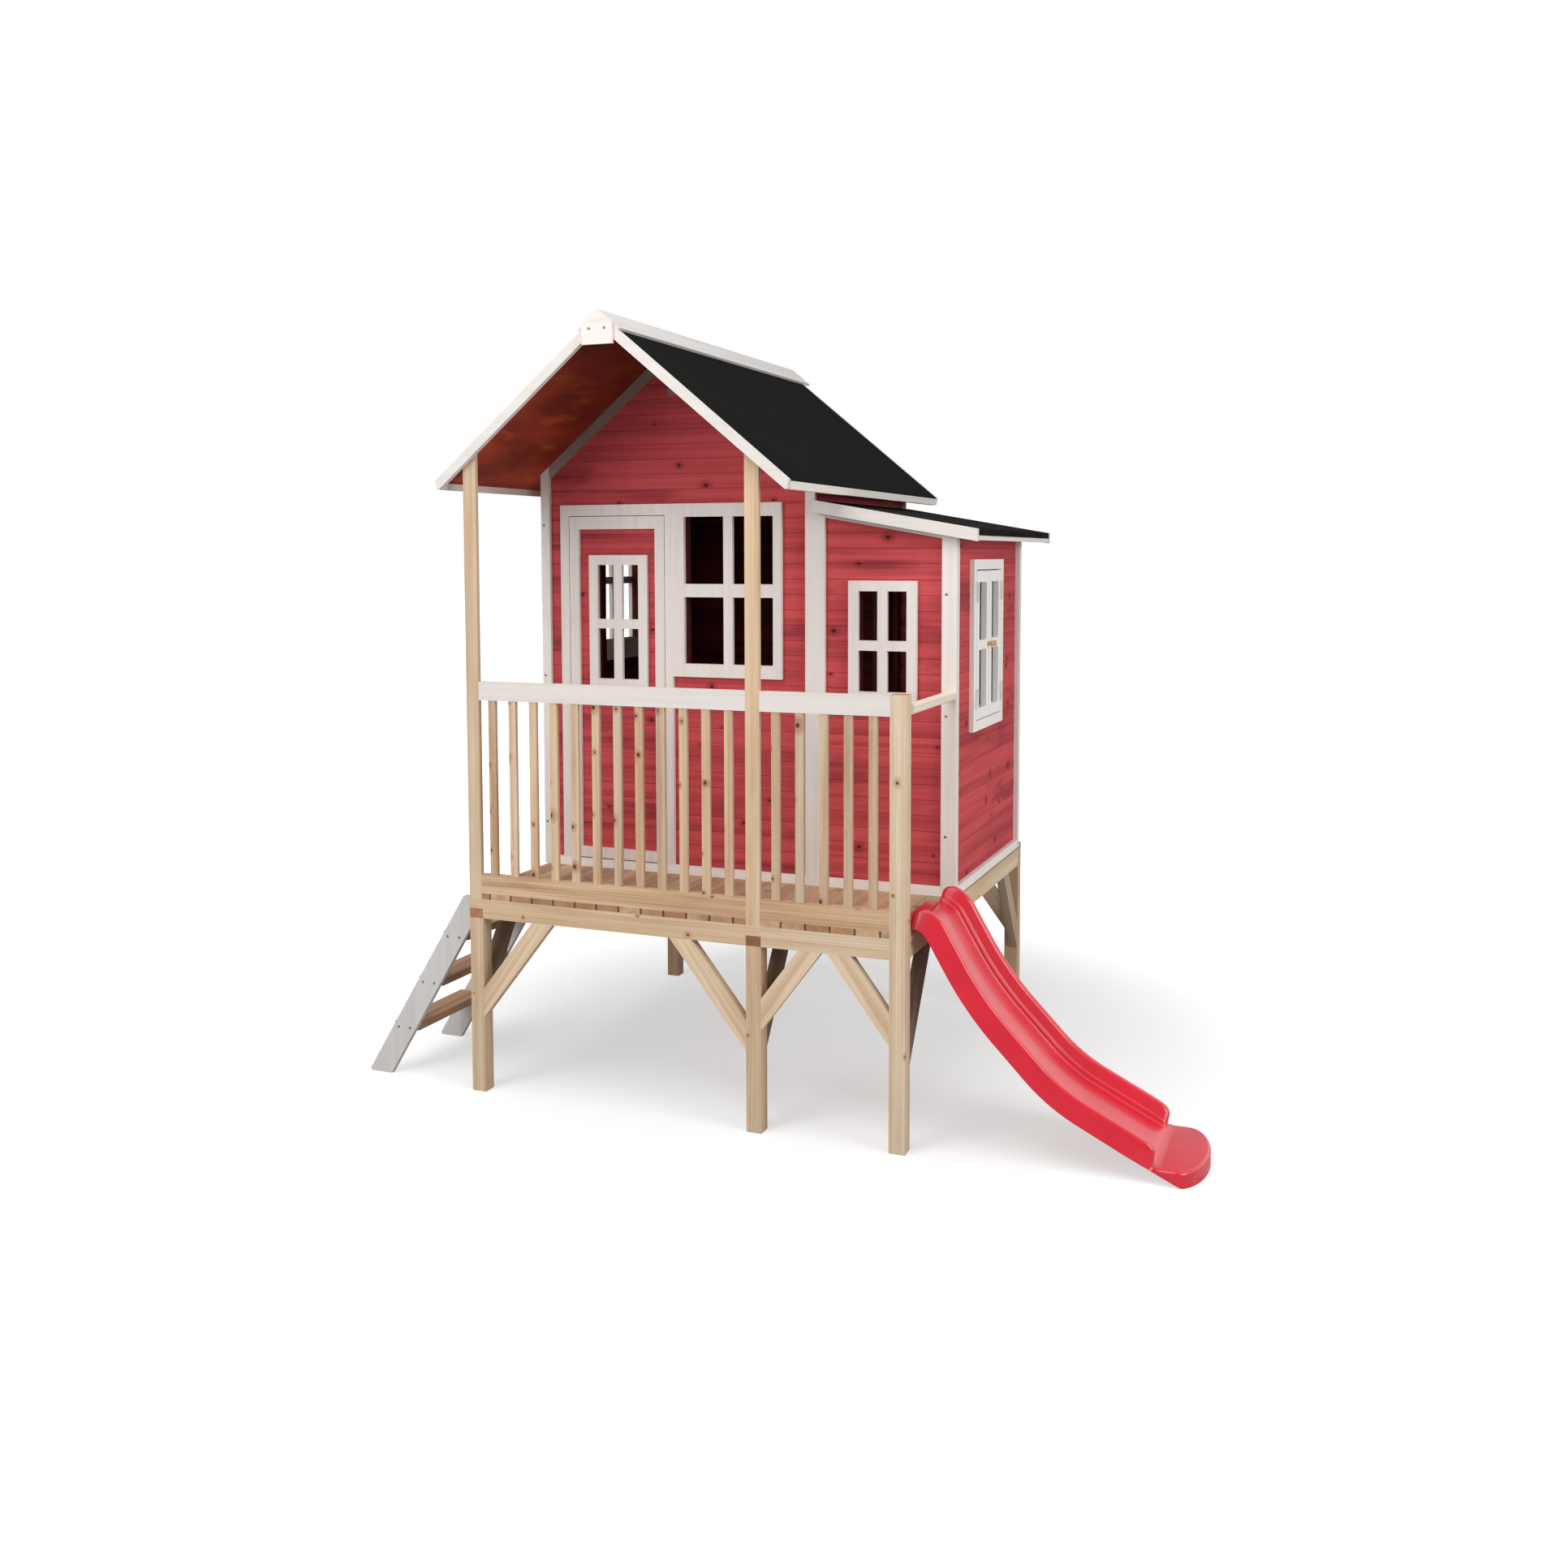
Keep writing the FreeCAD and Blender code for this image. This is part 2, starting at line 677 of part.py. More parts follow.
# The spaces that the cabin and the lean-to fill up to the undersides of their roofs.
cabin_corners = [
    ("cabin_left", deck_top),
    ("cabin_right", deck_top),
    ("cabin_right", roof_line("cabin_right", roof_build, "right")),
    (ridge_place, roof_line(ridge_place, roof_build, "left")),
    ("cabin_left", roof_line("cabin_left", roof_build, "left")),
]
cabin_space = outline("cabin_space", "XZ", cabin_corners, "cabin_front", cabin_depth)
lean_to_corners = [
    ("cabin_right", deck_top),
    ("lean_to_right", deck_top),
    ("lean_to_right", lean_to_line("lean_to_right", roof_build)),
    ("cabin_right", lean_to_line("cabin_right", roof_build)),
]
lean_to_space = outline("lean_to_space", "XZ", lean_to_corners, "cabin_front", "lean_to_back - cabin_front")

front_holes = [
    hole("door_hole", (door_hole_left, "cabin_front", f"{door_bottom} - door_gap"),
         (door_hole_right, side_start, door_hole_top)),
    hole("front_window_hole", (front_pane_left, "cabin_front", front_pane_low),
         (front_pane_right, side_start, front_pane_high)),
]
finish("front_wall_boards", cladding("front_board", "YZ", "cabin_front", 1, "cabin_left", cabin_length,
                                     cabin_space, front_holes))
finish("back_wall_boards", cladding("back_board", "YZ", "cabin_back", -1, "cabin_left", cabin_length,
                                    cabin_space, []))

left_hole = hole("left_window_hole", ("cabin_left", left_pane_start, left_pane_low),
                 ("cabin_left + board_thickness", left_pane_end, left_pane_high))
finish("left_wall_boards", cladding("left_board", "XZ", "cabin_left", 1, side_start, side_depth,
                                    cabin_space, [left_hole]))

passage_low = f"({side_start} + passage_start)"
passage = hole("passage_hole", ("cabin_right - board_thickness", passage_low, deck_top),
               ("cabin_right", f"{passage_low} + passage_width", f"{deck_top} + passage_height"))
finish("cabin_side_boards", cladding("right_board", "XZ", "cabin_right", -1, side_start, side_depth,
                                     cabin_space, [passage]))

lean_to_length = "(lean_to_right - cabin_right)"
lean_to_inner = "(lean_to_right - board_thickness)"
small_hole = hole("small_window_hole", (small_pane_left, "cabin_front", small_pane_low),
                  (small_pane_right, side_start, small_pane_high))
finish("lean_to_front_boards", cladding("lean_to_front_board", "YZ", "cabin_front", 1, "cabin_right",
                                        lean_to_length, lean_to_space, [small_hole]))
finish("lean_to_back_boards", cladding("lean_to_back_board", "YZ", "lean_to_back", -1, "cabin_right",
                                       lean_to_length, lean_to_space, []))

lean_to_side_depth = f"(lean_to_back - board_thickness - {side_start})"
side_hole = hole("side_window_hole", (lean_to_inner, side_hole_start, side_hole_low),
                 ("lean_to_right", side_hole_end, side_hole_high))
finish("lean_to_side_boards", cladding("lean_to_side_board", "XZ", "lean_to_right", -1, side_start,
                                       lean_to_side_depth, lean_to_space, [side_hole]))

# STUDS. Square studs, sills, heads and plates behind the cladding.
plate_base = f"({deck_top} + plate_level)"
small_plate_base = f"({deck_top} + lean_to_plate_level)"
inner_left = "(cabin_left + board_thickness)"
inner_right = "(cabin_right - board_thickness)"
inner_back = "(cabin_back - board_thickness)"
small_inner_back = "(lean_to_back - board_thickness)"
far_stud = f"({inner_back} - stud_side)"
studs = []


def stud(label, across, deep, low, high):
    """An upright stud between two levels."""
    studs.append(bar(label, (across, deep, low), ("stud_side", "stud_side", f"({high}) - ({low})")))


def rail(label, low, across, deep, tall):
    """A level rail from its lowest corner."""
    studs.append(bar(label, low, (across, deep, tall)))


door_stud_left = f"({door_hole_left} - door_stud_setback - stud_side)"
door_stud_right = f"({door_hole_right} + stud_setback)"
window_stud_left = f"({front_pane_left} - stud_setback - stud_side)"
window_stud_right = f"({front_pane_right} + stud_setback)"
for index, across in enumerate((inner_left, door_stud_left, door_stud_right, window_stud_left,
                                window_stud_right, f"{inner_right} - stud_side")):
    stud(f"front_stud_{index}", across, side_start, deck_top, plate_base)
for index, across in enumerate((inner_left, f"{ridge_place} - stud_side / 2", f"{inner_right} - stud_side")):
    stud(f"back_stud_{index}", across, far_stud, deck_top, plate_base)
plate_run = f"({inner_right} - {inner_left} - 2 * stud_side)"
for name, deep in (("front", side_start), ("back", far_stud)):
    rail(name + "_plate", (f"{inner_left} + stud_side", deep, plate_base), plate_run, "stud_side", "stud_side")
for name, across in (("left", inner_left), ("right", f"{inner_right} - stud_side")):
    rail(name + "_plate", (across, side_start, plate_base), "stud_side", side_depth, "stud_side")
door_head_run = f"({door_stud_right} - {door_stud_left} - stud_side)"
rail("door_head", (f"{door_stud_left} + stud_side", side_start, f"{door_hole_top} + stud_setback"),
     door_head_run, "stud_side", "stud_side")
window_rail_run = f"({window_stud_right} - {window_stud_left} - stud_side)"
rail("front_window_sill", (f"{window_stud_left} + stud_side", side_start, f"{front_pane_low} - stud_setback - stud_side"),
     window_rail_run, "stud_side", "stud_side")
rail("front_window_head", (f"{window_stud_left} + stud_side", side_start, f"{front_pane_high} + stud_setback"),
     window_rail_run, "stud_side", "stud_side")

left_stud_near = f"({left_pane_start} - stud_setback - stud_side)"
left_stud_far = f"({left_pane_end} + stud_setback)"
stud("left_stud_near", inner_left, left_stud_near, deck_top, plate_base)
stud("left_stud_far", inner_left, left_stud_far, deck_top, plate_base)
left_rail_run = f"({left_stud_far} - {left_stud_near} - stud_side)"
rail("left_window_sill", (inner_left, f"{left_stud_near} + stud_side", f"{left_pane_low} - sill_rail_height"),
     "stud_side", left_rail_run, "sill_rail_height")
rail("left_window_head", (inner_left, f"{left_stud_near} + stud_side", f"{left_pane_high} + stud_setback"),
     "stud_side", left_rail_run, "stud_side")

passage_stud_near = f"({passage_low} - stud_side - stud_setback)"
passage_stud_far = f"({passage_low} + passage_width + stud_setback)"
right_stud_line = f"({inner_right} - stud_side)"
stud("passage_stud_near", right_stud_line, passage_stud_near, deck_top, plate_base)
stud("passage_stud_far", right_stud_line, passage_stud_far, deck_top, plate_base)
rail("passage_head", (right_stud_line, f"{passage_stud_near} + stud_side", f"{deck_top} + passage_height + stud_setback"),
     "stud_side", "(passage_width + 2 * stud_setback)", "stud_side")

small_corner = f"({lean_to_inner} - stud_side)"
small_far = f"({small_inner_back} - stud_side)"
for index, across in enumerate(("cabin_right", f"{small_pane_left} - stud_setback - stud_side",
                                f"{small_pane_right} + stud_setback", small_corner)):
    stud(f"lean_to_front_stud_{index}", across, side_start, deck_top, small_plate_base)
for index, across in enumerate(("cabin_right", small_corner)):
    stud(f"lean_to_back_stud_{index}", across, small_far, deck_top, small_plate_base)
for name, deep in (("front", side_start), ("back", small_far)):
    rail(f"lean_to_{name}_plate", ("cabin_right", deep, small_plate_base),
         f"({lean_to_inner} - cabin_right)", "stud_side", "stud_side")
rail("lean_to_side_plate", (small_corner, f"{side_start} + stud_side", small_plate_base),
     "stud_side", f"({small_far} - {side_start} - stud_side)", "stud_side")
side_stud_near = f"({side_hole_start} - stud_setback - stud_side)"
side_stud_far = f"({side_hole_end} + stud_setback)"
stud("side_window_stud_near", small_corner, side_stud_near, deck_top, small_plate_base)
stud("side_window_stud_far", small_corner, side_stud_far, deck_top, small_plate_base)
side_rail_run = f"({side_stud_far} - {side_stud_near} - stud_side)"
rail("side_window_sill", (small_corner, f"{side_stud_near} + stud_side", f"{side_hole_low} - stud_setback - stud_side"),
     "stud_side", side_rail_run, "stud_side")
rail("side_window_head", (small_corner, f"{side_stud_near} + stud_side", f"{side_hole_high} + stud_setback"),
     "stud_side", side_rail_run, "stud_side")
small_sill_run = f"({small_pane_right} - {small_pane_left} + 2 * stud_setback)"
rail("lean_to_window_sill", (f"{small_pane_left} - stud_setback", side_start, f"{small_pane_low} - stud_setback - stud_side"),
     small_sill_run, "stud_side", "stud_side")
rail("lean_to_window_head", (f"{small_pane_left} - stud_setback", side_start, f"{small_pane_high} + stud_setback"),
     small_sill_run, "stud_side", "stud_side")
finish("wall_studs", studs)

# CORNER TRIMS. White boards up each corner, cut to the slope of the roof above them.
trim_left = "(cabin_left - trim_thickness)"
trim_right = "(cabin_right + trim_thickness)"
trim_back = "(cabin_back + trim_thickness)"
small_trim_right = "(lean_to_right + trim_thickness)"
trims = []


def upright_trim(label, near, far, start, side):
    """A corner trim that faces the front or the back."""
    if side == "lean":
        tops = [lean_to_line(far, f"{roof_build}"), lean_to_line(near, f"{roof_build}")]
    else:
        tops = [roof_line(far, roof_build, side), roof_line(near, roof_build, side)]
    corners = [(near, deck_top), (far, deck_top), (far, tops[0]), (near, tops[1])]
    trims.append(outline(label, "XZ", corners, start, "trim_thickness"))


for name, start in (("front", trim_front), ("back", "cabin_back")):
    upright_trim(f"cabin_left_{name}_trim", trim_left, f"{trim_left} + corner_trim_width", start, "left")
    upright_trim(f"cabin_right_{name}_trim", f"{trim_right} - corner_trim_width", trim_right, start, "right")
upright_trim("lean_to_left_trim", trim_right, f"{trim_right} + corner_trim_width", trim_front, "lean")
upright_trim("lean_to_right_trim", "lean_to_right - corner_trim_width", "lean_to_right", trim_front, "lean")
upright_trim("lean_to_back_trim", "lean_to_right - corner_trim_width", "lean_to_right", "lean_to_back", "lean")


def side_trim(label, across, start, top):
    """A corner trim that faces the left or the right."""
    trims.append(bar(label, (across, start, deck_top),
                     ("trim_thickness", "corner_trim_width", f"({top}) - {deck_top}")))


left_trim_top = roof_line(trim_left, roof_build, "left")
side_trim("cabin_left_near_trim", trim_left, "cabin_front", left_trim_top)
side_trim("cabin_left_far_trim", trim_left, "cabin_back - corner_trim_width", left_trim_top)
side_trim("cabin_right_far_trim", "cabin_right", "cabin_back - corner_trim_width", lean_to_line(trim_right, roof_build))
small_trim_top = lean_to_line(small_trim_right, roof_build)
side_trim("lean_to_near_side_trim", "lean_to_right", trim_front, small_trim_top)
side_trim("lean_to_far_side_trim", "lean_to_right", "lean_to_back + trim_thickness - corner_trim_width", small_trim_top)
finish("corner_trims", trims)

# BASE TRIMS. White strips along the foot of each wall, between the corner trims.
base_trims = []


def base_trim(label, low, across, deep):
    """A strip that lies on the deck."""
    base_trims.append(bar(label, low, (across, deep, "base_trim_height")))


base_left = f"({trim_left} + corner_trim_width)"
base_right = f"({trim_right} - corner_trim_width)"
small_base_left = f"({trim_right} + corner_trim_width)"
small_base_right = "(lean_to_right - corner_trim_width)"
small_side_end = "(lean_to_back + trim_thickness - corner_trim_width)"
side_far = "(cabin_back - corner_trim_width)"
base_trim("front_base", (base_left, trim_front, deck_top), f"{base_right} - {base_left}", "trim_thickness")
base_trim("back_base", (base_left, "cabin_back", deck_top), f"{base_right} - {base_left}", "trim_thickness")
base_trim("left_base", (trim_left, "cabin_front + corner_trim_width", deck_top), "trim_thickness",
          "cabin_back - cabin_front - 2 * corner_trim_width")
base_trim("lean_to_front_base", (small_base_left, trim_front, deck_top),
          f"{small_base_right} - {small_base_left}", "trim_thickness")
base_trim("lean_to_side_base", ("lean_to_right", f"{trim_front} + corner_trim_width", deck_top), "trim_thickness",
          f"{small_side_end} - {trim_front} - corner_trim_width")
base_trim("lean_to_back_base", (trim_right, "lean_to_back", deck_top), f"{small_base_right} - {trim_right}",
          "trim_thickness")
base_trim("cabin_right_base", ("cabin_right", "lean_to_back", deck_top), "trim_thickness",
          f"{side_far} - lean_to_back")
finish("base_trims", base_trims)

# GABLE TRIMS. Sloped strips on the front and back walls under the roofs, and a small block
# under the apex of the front gable.
gable_trims = []
gable_low = f"({roof_build} + gable_trim_width)"
for name, start in (("front", trim_front), ("back", "cabin_back")):
    for side, edge in (("left", base_left), ("right", base_right)):
        corners = [
            (edge, roof_line(edge, gable_low, side)),
            (ridge_place, roof_line(ridge_place, gable_low, side)),
            (ridge_place, roof_line(ridge_place, roof_build, side)),
            (edge, roof_line(edge, roof_build, side)),
        ]
        gable_trims.append(outline(f"gable_trim_{name}_{side}", "XZ", corners, start, "trim_thickness"))
block_left = f"({ridge_place} - apex_block_half_width)"
block_right = f"({ridge_place} + apex_block_half_width)"
block_top = roof_line(ridge_place, gable_low, "left")
block_corners = [
    (block_left, f"{block_top} - apex_block_drop"),
    (block_right, f"{block_top} - apex_block_drop"),
    (block_right, roof_line(block_right, gable_low, "right")),
    (ridge_place, block_top),
    (block_left, roof_line(block_left, gable_low, "left")),
]
gable_trims.append(outline("apex_block", "XZ", block_corners, trim_front, "trim_thickness"))
for name, start, edge in (("front", trim_front, small_base_left), ("back", "lean_to_back", trim_right)):
    corners = [
        (edge, lean_to_line(edge, gable_low)),
        (small_base_right, lean_to_line(small_base_right, gable_low)),
        (small_base_right, lean_to_line(small_base_right, roof_build)),
        (edge, lean_to_line(edge, roof_build)),
    ]
    gable_trims.append(outline(f"lean_to_{name}_top_trim", "XZ", corners, start, "trim_thickness"))
finish("gable_trims", gable_trims)

# DOOR FRAME. Two uprights and a head strip round the doorway, on top of the base trim.
frame_left = f"({door_hole_left} - door_frame_width)"
frame_base = f"({deck_top} + base_trim_height)"
finish("door_frame", [
    bar("door_frame_left", (frame_left, trim_front, frame_base),
        ("door_frame_width", "trim_thickness", f"{door_hole_top} - {frame_base}")),
    bar("door_frame_right", (door_hole_right, trim_front, frame_base),
        ("door_frame_right_width", "trim_thickness", f"{door_hole_top} - {frame_base}")),
    bar("door_frame_head", (frame_left, trim_front, door_hole_top),
        (f"{door_hole_right} + door_frame_right_width - {frame_left}", "trim_thickness", "door_frame_top_width")),
])

# DOOR LEAF. Cladding boards in the doorway, with battens on their front round the edge and
# round the door's own window.
leaf_top = f"({door_bottom} + door_height)"
door_face = "(cabin_front - door_batten_thickness)"
window_left = "(door_left + door_window_left)"
window_right = f"({window_left} + door_window_width)"
window_low = f"({door_bottom} + door_window_bottom)"
window_high = f"({window_low} + door_window_height)"
door_block = bar("door_block", ("door_left", "cabin_front", door_bottom), ("door_width", "board_thickness", "door_height"))
pane_inset = "door_window_strip"
door_pane = hole("door_pane_hole",
                 (f"{window_left} + {pane_inset}", "cabin_front", f"{window_low} + {pane_inset}"),
                 (f"{window_right} - {pane_inset}", side_start, f"{window_high} - {pane_inset}"))
finish("door_boards", cladding("door_board", "YZ", "cabin_front", 1, "door_left", "door_width", door_block, [door_pane]))

side_batten_tall = "(door_height - door_batten_top_width - door_batten_width)"
finish("door_battens", [
    bar("door_batten_left", ("door_left", door_face, f"{door_bottom} + door_batten_width"),
        ("door_batten_width", "door_batten_thickness", side_batten_tall)),
    bar("door_batten_right", (f"{door_right} - door_batten_width", door_face, f"{door_bottom} + door_batten_width"),
        ("door_batten_width", "door_batten_thickness", side_batten_tall)),
    bar("door_batten_bottom", ("door_left", door_face, door_bottom),
        ("door_width", "door_batten_thickness", "door_batten_width")),
    bar("door_batten_top", ("door_left", door_face, f"{leaf_top} - door_batten_top_width"),
        ("door_width", "door_batten_thickness", "door_batten_top_width")),
])


def window_frame(label, plane, face, thickness, low, high, strips, bars):
    """Strips round a window with a cross of glazing bars in the same plane.

    low and high are the outer corners along the wall and up, strips are the widths at the
    low end, the high end, the bottom and the top, and bars are the middles of the two bars
    with their widths.
    """
    (start, bottom), (end, top) = low, high
    left_strip, right_strip, bottom_strip, top_strip = strips
    (upright, upright_width), (level, level_width) = bars
    pieces = [
        ("bottom", start, end, bottom, f"{bottom} + {bottom_strip}"),
        ("top", start, end, f"{top} - {top_strip}", top),
        ("near", start, f"{start} + {left_strip}", f"{bottom} + {bottom_strip}", f"{top} - {top_strip}"),
        ("far", f"{end} - {right_strip}", end, f"{bottom} + {bottom_strip}", f"{top} - {top_strip}"),
        ("bar", f"{upright} - {upright_width} / 2", f"{upright} + {upright_width} / 2",
         f"{bottom} + {bottom_strip}", f"{top} - {top_strip}"),
        ("near_level", f"{start} + {left_strip}", f"{upright} - {upright_width} / 2",
         f"{level} - {level_width} / 2", f"{level} + {level_width} / 2"),
        ("far_level", f"{upright} + {upright_width} / 2", f"{end} - {right_strip}",
         f"{level} - {level_width} / 2", f"{level} + {level_width} / 2"),
    ]
    made = []
    for name, a, b, c, d in pieces:
        if plane == "XZ":
            made.append(bar(f"{label}_{name}", (a, face, c), (f"({b}) - ({a})", thickness, f"({d}) - ({c})")))
        else:
            made.append(bar(f"{label}_{name}", (face, a, c), (thickness, f"({b}) - ({a})", f"({d}) - ({c})")))
    return made


finish("door_window_frame", window_frame(
    "door_window", "XZ", door_face, "door_batten_thickness",
    (window_left, window_low), (window_right, window_high), ["door_window_strip"] * 4,
    ((f"({window_left} + door_window_width / 2)", "window_bar"),
     (f"({window_low} + door_window_bar_level)", "window_bar"))))

front_window_start = "(cabin_left + front_window_left)"
front_window_end = f"({front_window_start} + front_window_width)"
front_window_low = f"({deck_top} + front_window_bottom)"
front_window_high = f"({front_window_low} + front_window_height)"
finish("front_window_frame", window_frame(
    "front_window", "XZ", trim_front, "trim_thickness",
    (front_window_start, front_window_low), (front_window_end, front_window_high),
    ["front_window_left_strip", "front_window_right_strip"] + ["front_window_level_strip"] * 2,
    ((f"(({front_pane_left} + {front_pane_right}) / 2)", "window_bar"),
     (f"(({front_pane_low} + {front_pane_high}) / 2)", "front_window_level_strip"))))

small_window_start = "(cabin_left + lean_to_window_left)"
small_window_low = f"({deck_top} + lean_to_window_bottom)"
finish("lean_to_window_frame", window_frame(
    "lean_to_window", "XZ", trim_front, "trim_thickness",
    (small_window_start, small_window_low),
    (f"({small_window_start} + lean_to_window_width)", f"({small_window_low} + lean_to_window_height)"),
    ["small_window_strip"] * 4,
    ((f"({small_window_start} + lean_to_window_width / 2)", "window_bar"),
     (f"({small_window_low} + lean_to_window_height / 2 - lean_to_window_bar_drop)", "window_bar"))))

left_window_near = "(cabin_front + left_window_start)"
left_window_low = f"({deck_top} + left_window_bottom)"
finish("left_window_frame", window_frame(
    "left_window", "YZ", trim_left, "trim_thickness",
    (left_window_near, left_window_low),
    (f"({left_window_near} + left_window_width)", f"({left_window_low} + left_window_height)"),
    ["small_window_strip"] * 4,
    ((f"({left_window_near} + left_window_width / 2)", "left_window_bar"),
     (f"({left_window_low} + left_window_height / 2)", "left_window_bar"))))

# SIDE WINDOW. A fixed frame of four strips and two leaves that meet at the middle.
side_near = "(cabin_front + side_window_start)"
side_end = f"({side_near} + side_window_width)"
side_low = f"({deck_top} + side_window_bottom)"
side_high = f"({side_low} + side_window_height)"
finish("side_window_frame", window_frame(
    "side_window", "YZ", "lean_to_right", "trim_thickness",
    (side_near, side_low), (side_end, side_high), ["side_window_strip"] * 4,
    ((f"(({side_near} + {side_end}) / 2)", "window_bar"), (f"(({side_low} + {side_high}) / 2)", "window_bar")))[:4])

leaf_back = "(lean_to_right + trim_thickness - leaf_thickness)"
leaf_width = f"(({side_hole_end} - {side_hole_start} - 3 * leaf_gap) / 2)"
leaf_low = f"({side_hole_low} + leaf_gap)"
leaf_high = f"({side_hole_high} - leaf_gap)"
leaf_starts = {
    "front": f"({side_hole_start} + leaf_gap)",
    "back": f"({side_hole_start} + 2 * leaf_gap + {leaf_width})",
}
for name, start in leaf_starts.items():
    node = f"side_window_{name}_leaf"
    end = f"({start} + {leaf_width})"
    stile_tall = f"({leaf_high} - {leaf_low})"
    rail_run = f"({leaf_width} - 2 * leaf_stile_width)"
    inner = f"({start} + leaf_stile_width)"
    middle = f"(({leaf_low} + {leaf_high}) / 2)"
    pieces = [
        bar(f"{node}_near_stile", (leaf_back, start, leaf_low), ("leaf_thickness", "leaf_stile_width", stile_tall)),
        bar(f"{node}_far_stile", (leaf_back, f"{end} - leaf_stile_width", leaf_low),
            ("leaf_thickness", "leaf_stile_width", stile_tall)),
        bar(f"{node}_bottom_rail", (leaf_back, inner, leaf_low), ("leaf_thickness", rail_run, "leaf_rail_width")),
        bar(f"{node}_top_rail", (leaf_back, inner, f"{leaf_high} - leaf_rail_width"),
            ("leaf_thickness", rail_run, "leaf_rail_width")),
        bar(f"{node}_middle_bar", (leaf_back, inner, f"{middle} - window_bar / 2"),
            ("leaf_thickness", rail_run, "window_bar")),
    ]
    finish(node, pieces)

# KNOBS. One turned knob on each leaf, beside the line where the leaves meet.
knob_face = "(lean_to_right + trim_thickness)"
knob_places = {
    "front": f"({leaf_starts['front']} + {leaf_width} - leaf_stile_width / 2)",
    "back": f"({leaf_starts['back']} + leaf_stile_width / 2)",
}
knob_level = f"(({leaf_low} + {leaf_high}) / 2)"
for name, place in knob_places.items():
    node = f"side_window_{name}_knob"
    body = doc.addObject("PartDesign::Body", node + "_turned")
    profile = body.newObject("Sketcher::SketchObject", node + "_profile")
    side = [item for item in body.Origin.OriginFeatures if item.Role == "XY_Plane"][0]
    profile.AttachmentSupport = (side, [""])
    profile.MapMode = "FlatFace"
    neck = "knob_neck_length"
    whole = "(knob_neck_length + knob_length)"
    turned = [
        ("0", "0"),
        ("0", "knob_neck_radius"),
        (neck, "knob_neck_radius"),
        (f"{neck} + knob_edge", "knob_radius"),
        (f"{whole} - knob_edge", "knob_radius"),
        (whole, "knob_radius - knob_edge"),
        (whole, "0"),
    ]
    count = len(turned)
    for index in range(count):
        after = (index + 1) % count
        profile.addGeometry(Part.LineSegment(FreeCAD.Vector(index, index * index + 1, 0),
                                             FreeCAD.Vector(after, after * after + 1, 0)), False)
    for index in range(count):
        profile.addConstraint(Sketcher.Constraint("Coincident", index, 2, (index + 1) % count, 1))
    for index, (along, out) in enumerate(turned):
        for kind, formula in (("DistanceX", along), ("DistanceY", out)):
            rule = profile.addConstraint(Sketcher.Constraint(kind, -1, 1, index, 1, 1.0))
            bind(profile, f"Constraints[{rule}]", formula)
    spin = body.newObject("PartDesign::Revolution", node + "_spin")
    spin.Profile = profile
    spin.ReferenceAxis = (profile, ["H_Axis"])
    spin.Angle = 360
    bind(body, "Placement.Base.x", knob_face)
    bind(body, "Placement.Base.y", place)
    bind(body, "Placement.Base.z", knob_level)
    finish(node, [body])


# HINGES. Each is a lift-off hinge: the fixed half has the lower knuckle and the pin, and
# the moving half has the upper knuckle, which turns on the pin.
def hinge(label, pin, base, fixed_plate, moving_plate):
    """The two halves of one hinge, with the pin at X and Y and its lower end at base.

    Each plate is its low corner and its extent across and deep, and runs past the pin's
    line, where it is cut back clear of the other half's knuckle.
    """
    across, deep = pin
    half = "(hinge_height / 2)"
    clear = "(hinge_barrel_radius + hinge_knuckle_gap)"

    def clearance(name, low):
        corner = (f"{across} - {clear}", f"{deep} - {clear}", low)
        return bar(label + name, corner, (f"2 * {clear}", f"2 * {clear}", half))

    halves = []
    for name, (low, extent), knuckle, relief in (
            ("fixed", fixed_plate, base, f"{base} + {half}"),
            ("moving", moving_plate, f"{base} + {half}", base)):
        plate = bar(f"{label}_{name}_plate", (low[0], low[1], base), (extent[0], extent[1], "hinge_height"))
        plate = without(f"{label}_{name}_cut_plate", plate, [clearance(f"_{name}_relief", relief)])
        barrel = rod(f"{label}_{name}_barrel", (across, deep, knuckle), "hinge_barrel_radius", half)
        halves.append(joined(f"{label}_{name}_half", plate, barrel))
    pin_rod = rod(label + "_pin", (across, deep, base), "hinge_pin_radius", "hinge_height")
    bore = rod(label + "_bore", (across, deep, f"{base} + {half}"), "hinge_pin_radius + hinge_running_gap", half)
    return joined(label + "_pinned", halves[0], pin_rod), without(label + "_bored", halves[1], [bore])


# The door's hinges stand behind the left upright: the fixed plates lie on the jamb stud and
# the moving ones on the back of the door's boards.
stud_face = f"({door_stud_left} + stud_side)"
door_back = side_start
door_pin_across = f"({stud_face} + hinge_barrel_radius + hinge_stand_off)"
door_pin_deep = f"({door_back} + hinge_barrel_radius + hinge_stand_off)"
door_fixed = []
door_moving = []
for index, level in enumerate((f"({door_bottom} + hinge_inset)", f"({leaf_top} - hinge_inset - hinge_height)")):
    fixed, moving = hinge(
        f"door_hinge_{index}", (door_pin_across, door_pin_deep), level,
        ((stud_face, door_pin_deep), ("hinge_leaf_thickness", "hinge_leaf_width")),
        ((door_pin_across, door_back), (f"({door_hole_left} - {door_pin_across} + hinge_leaf_width)",
                                        "hinge_leaf_thickness")))
    door_fixed.append(fixed)
    door_moving.append(moving)
finish("door_hinge_plates", door_fixed)
finish("door_hinge_leaves", door_moving)

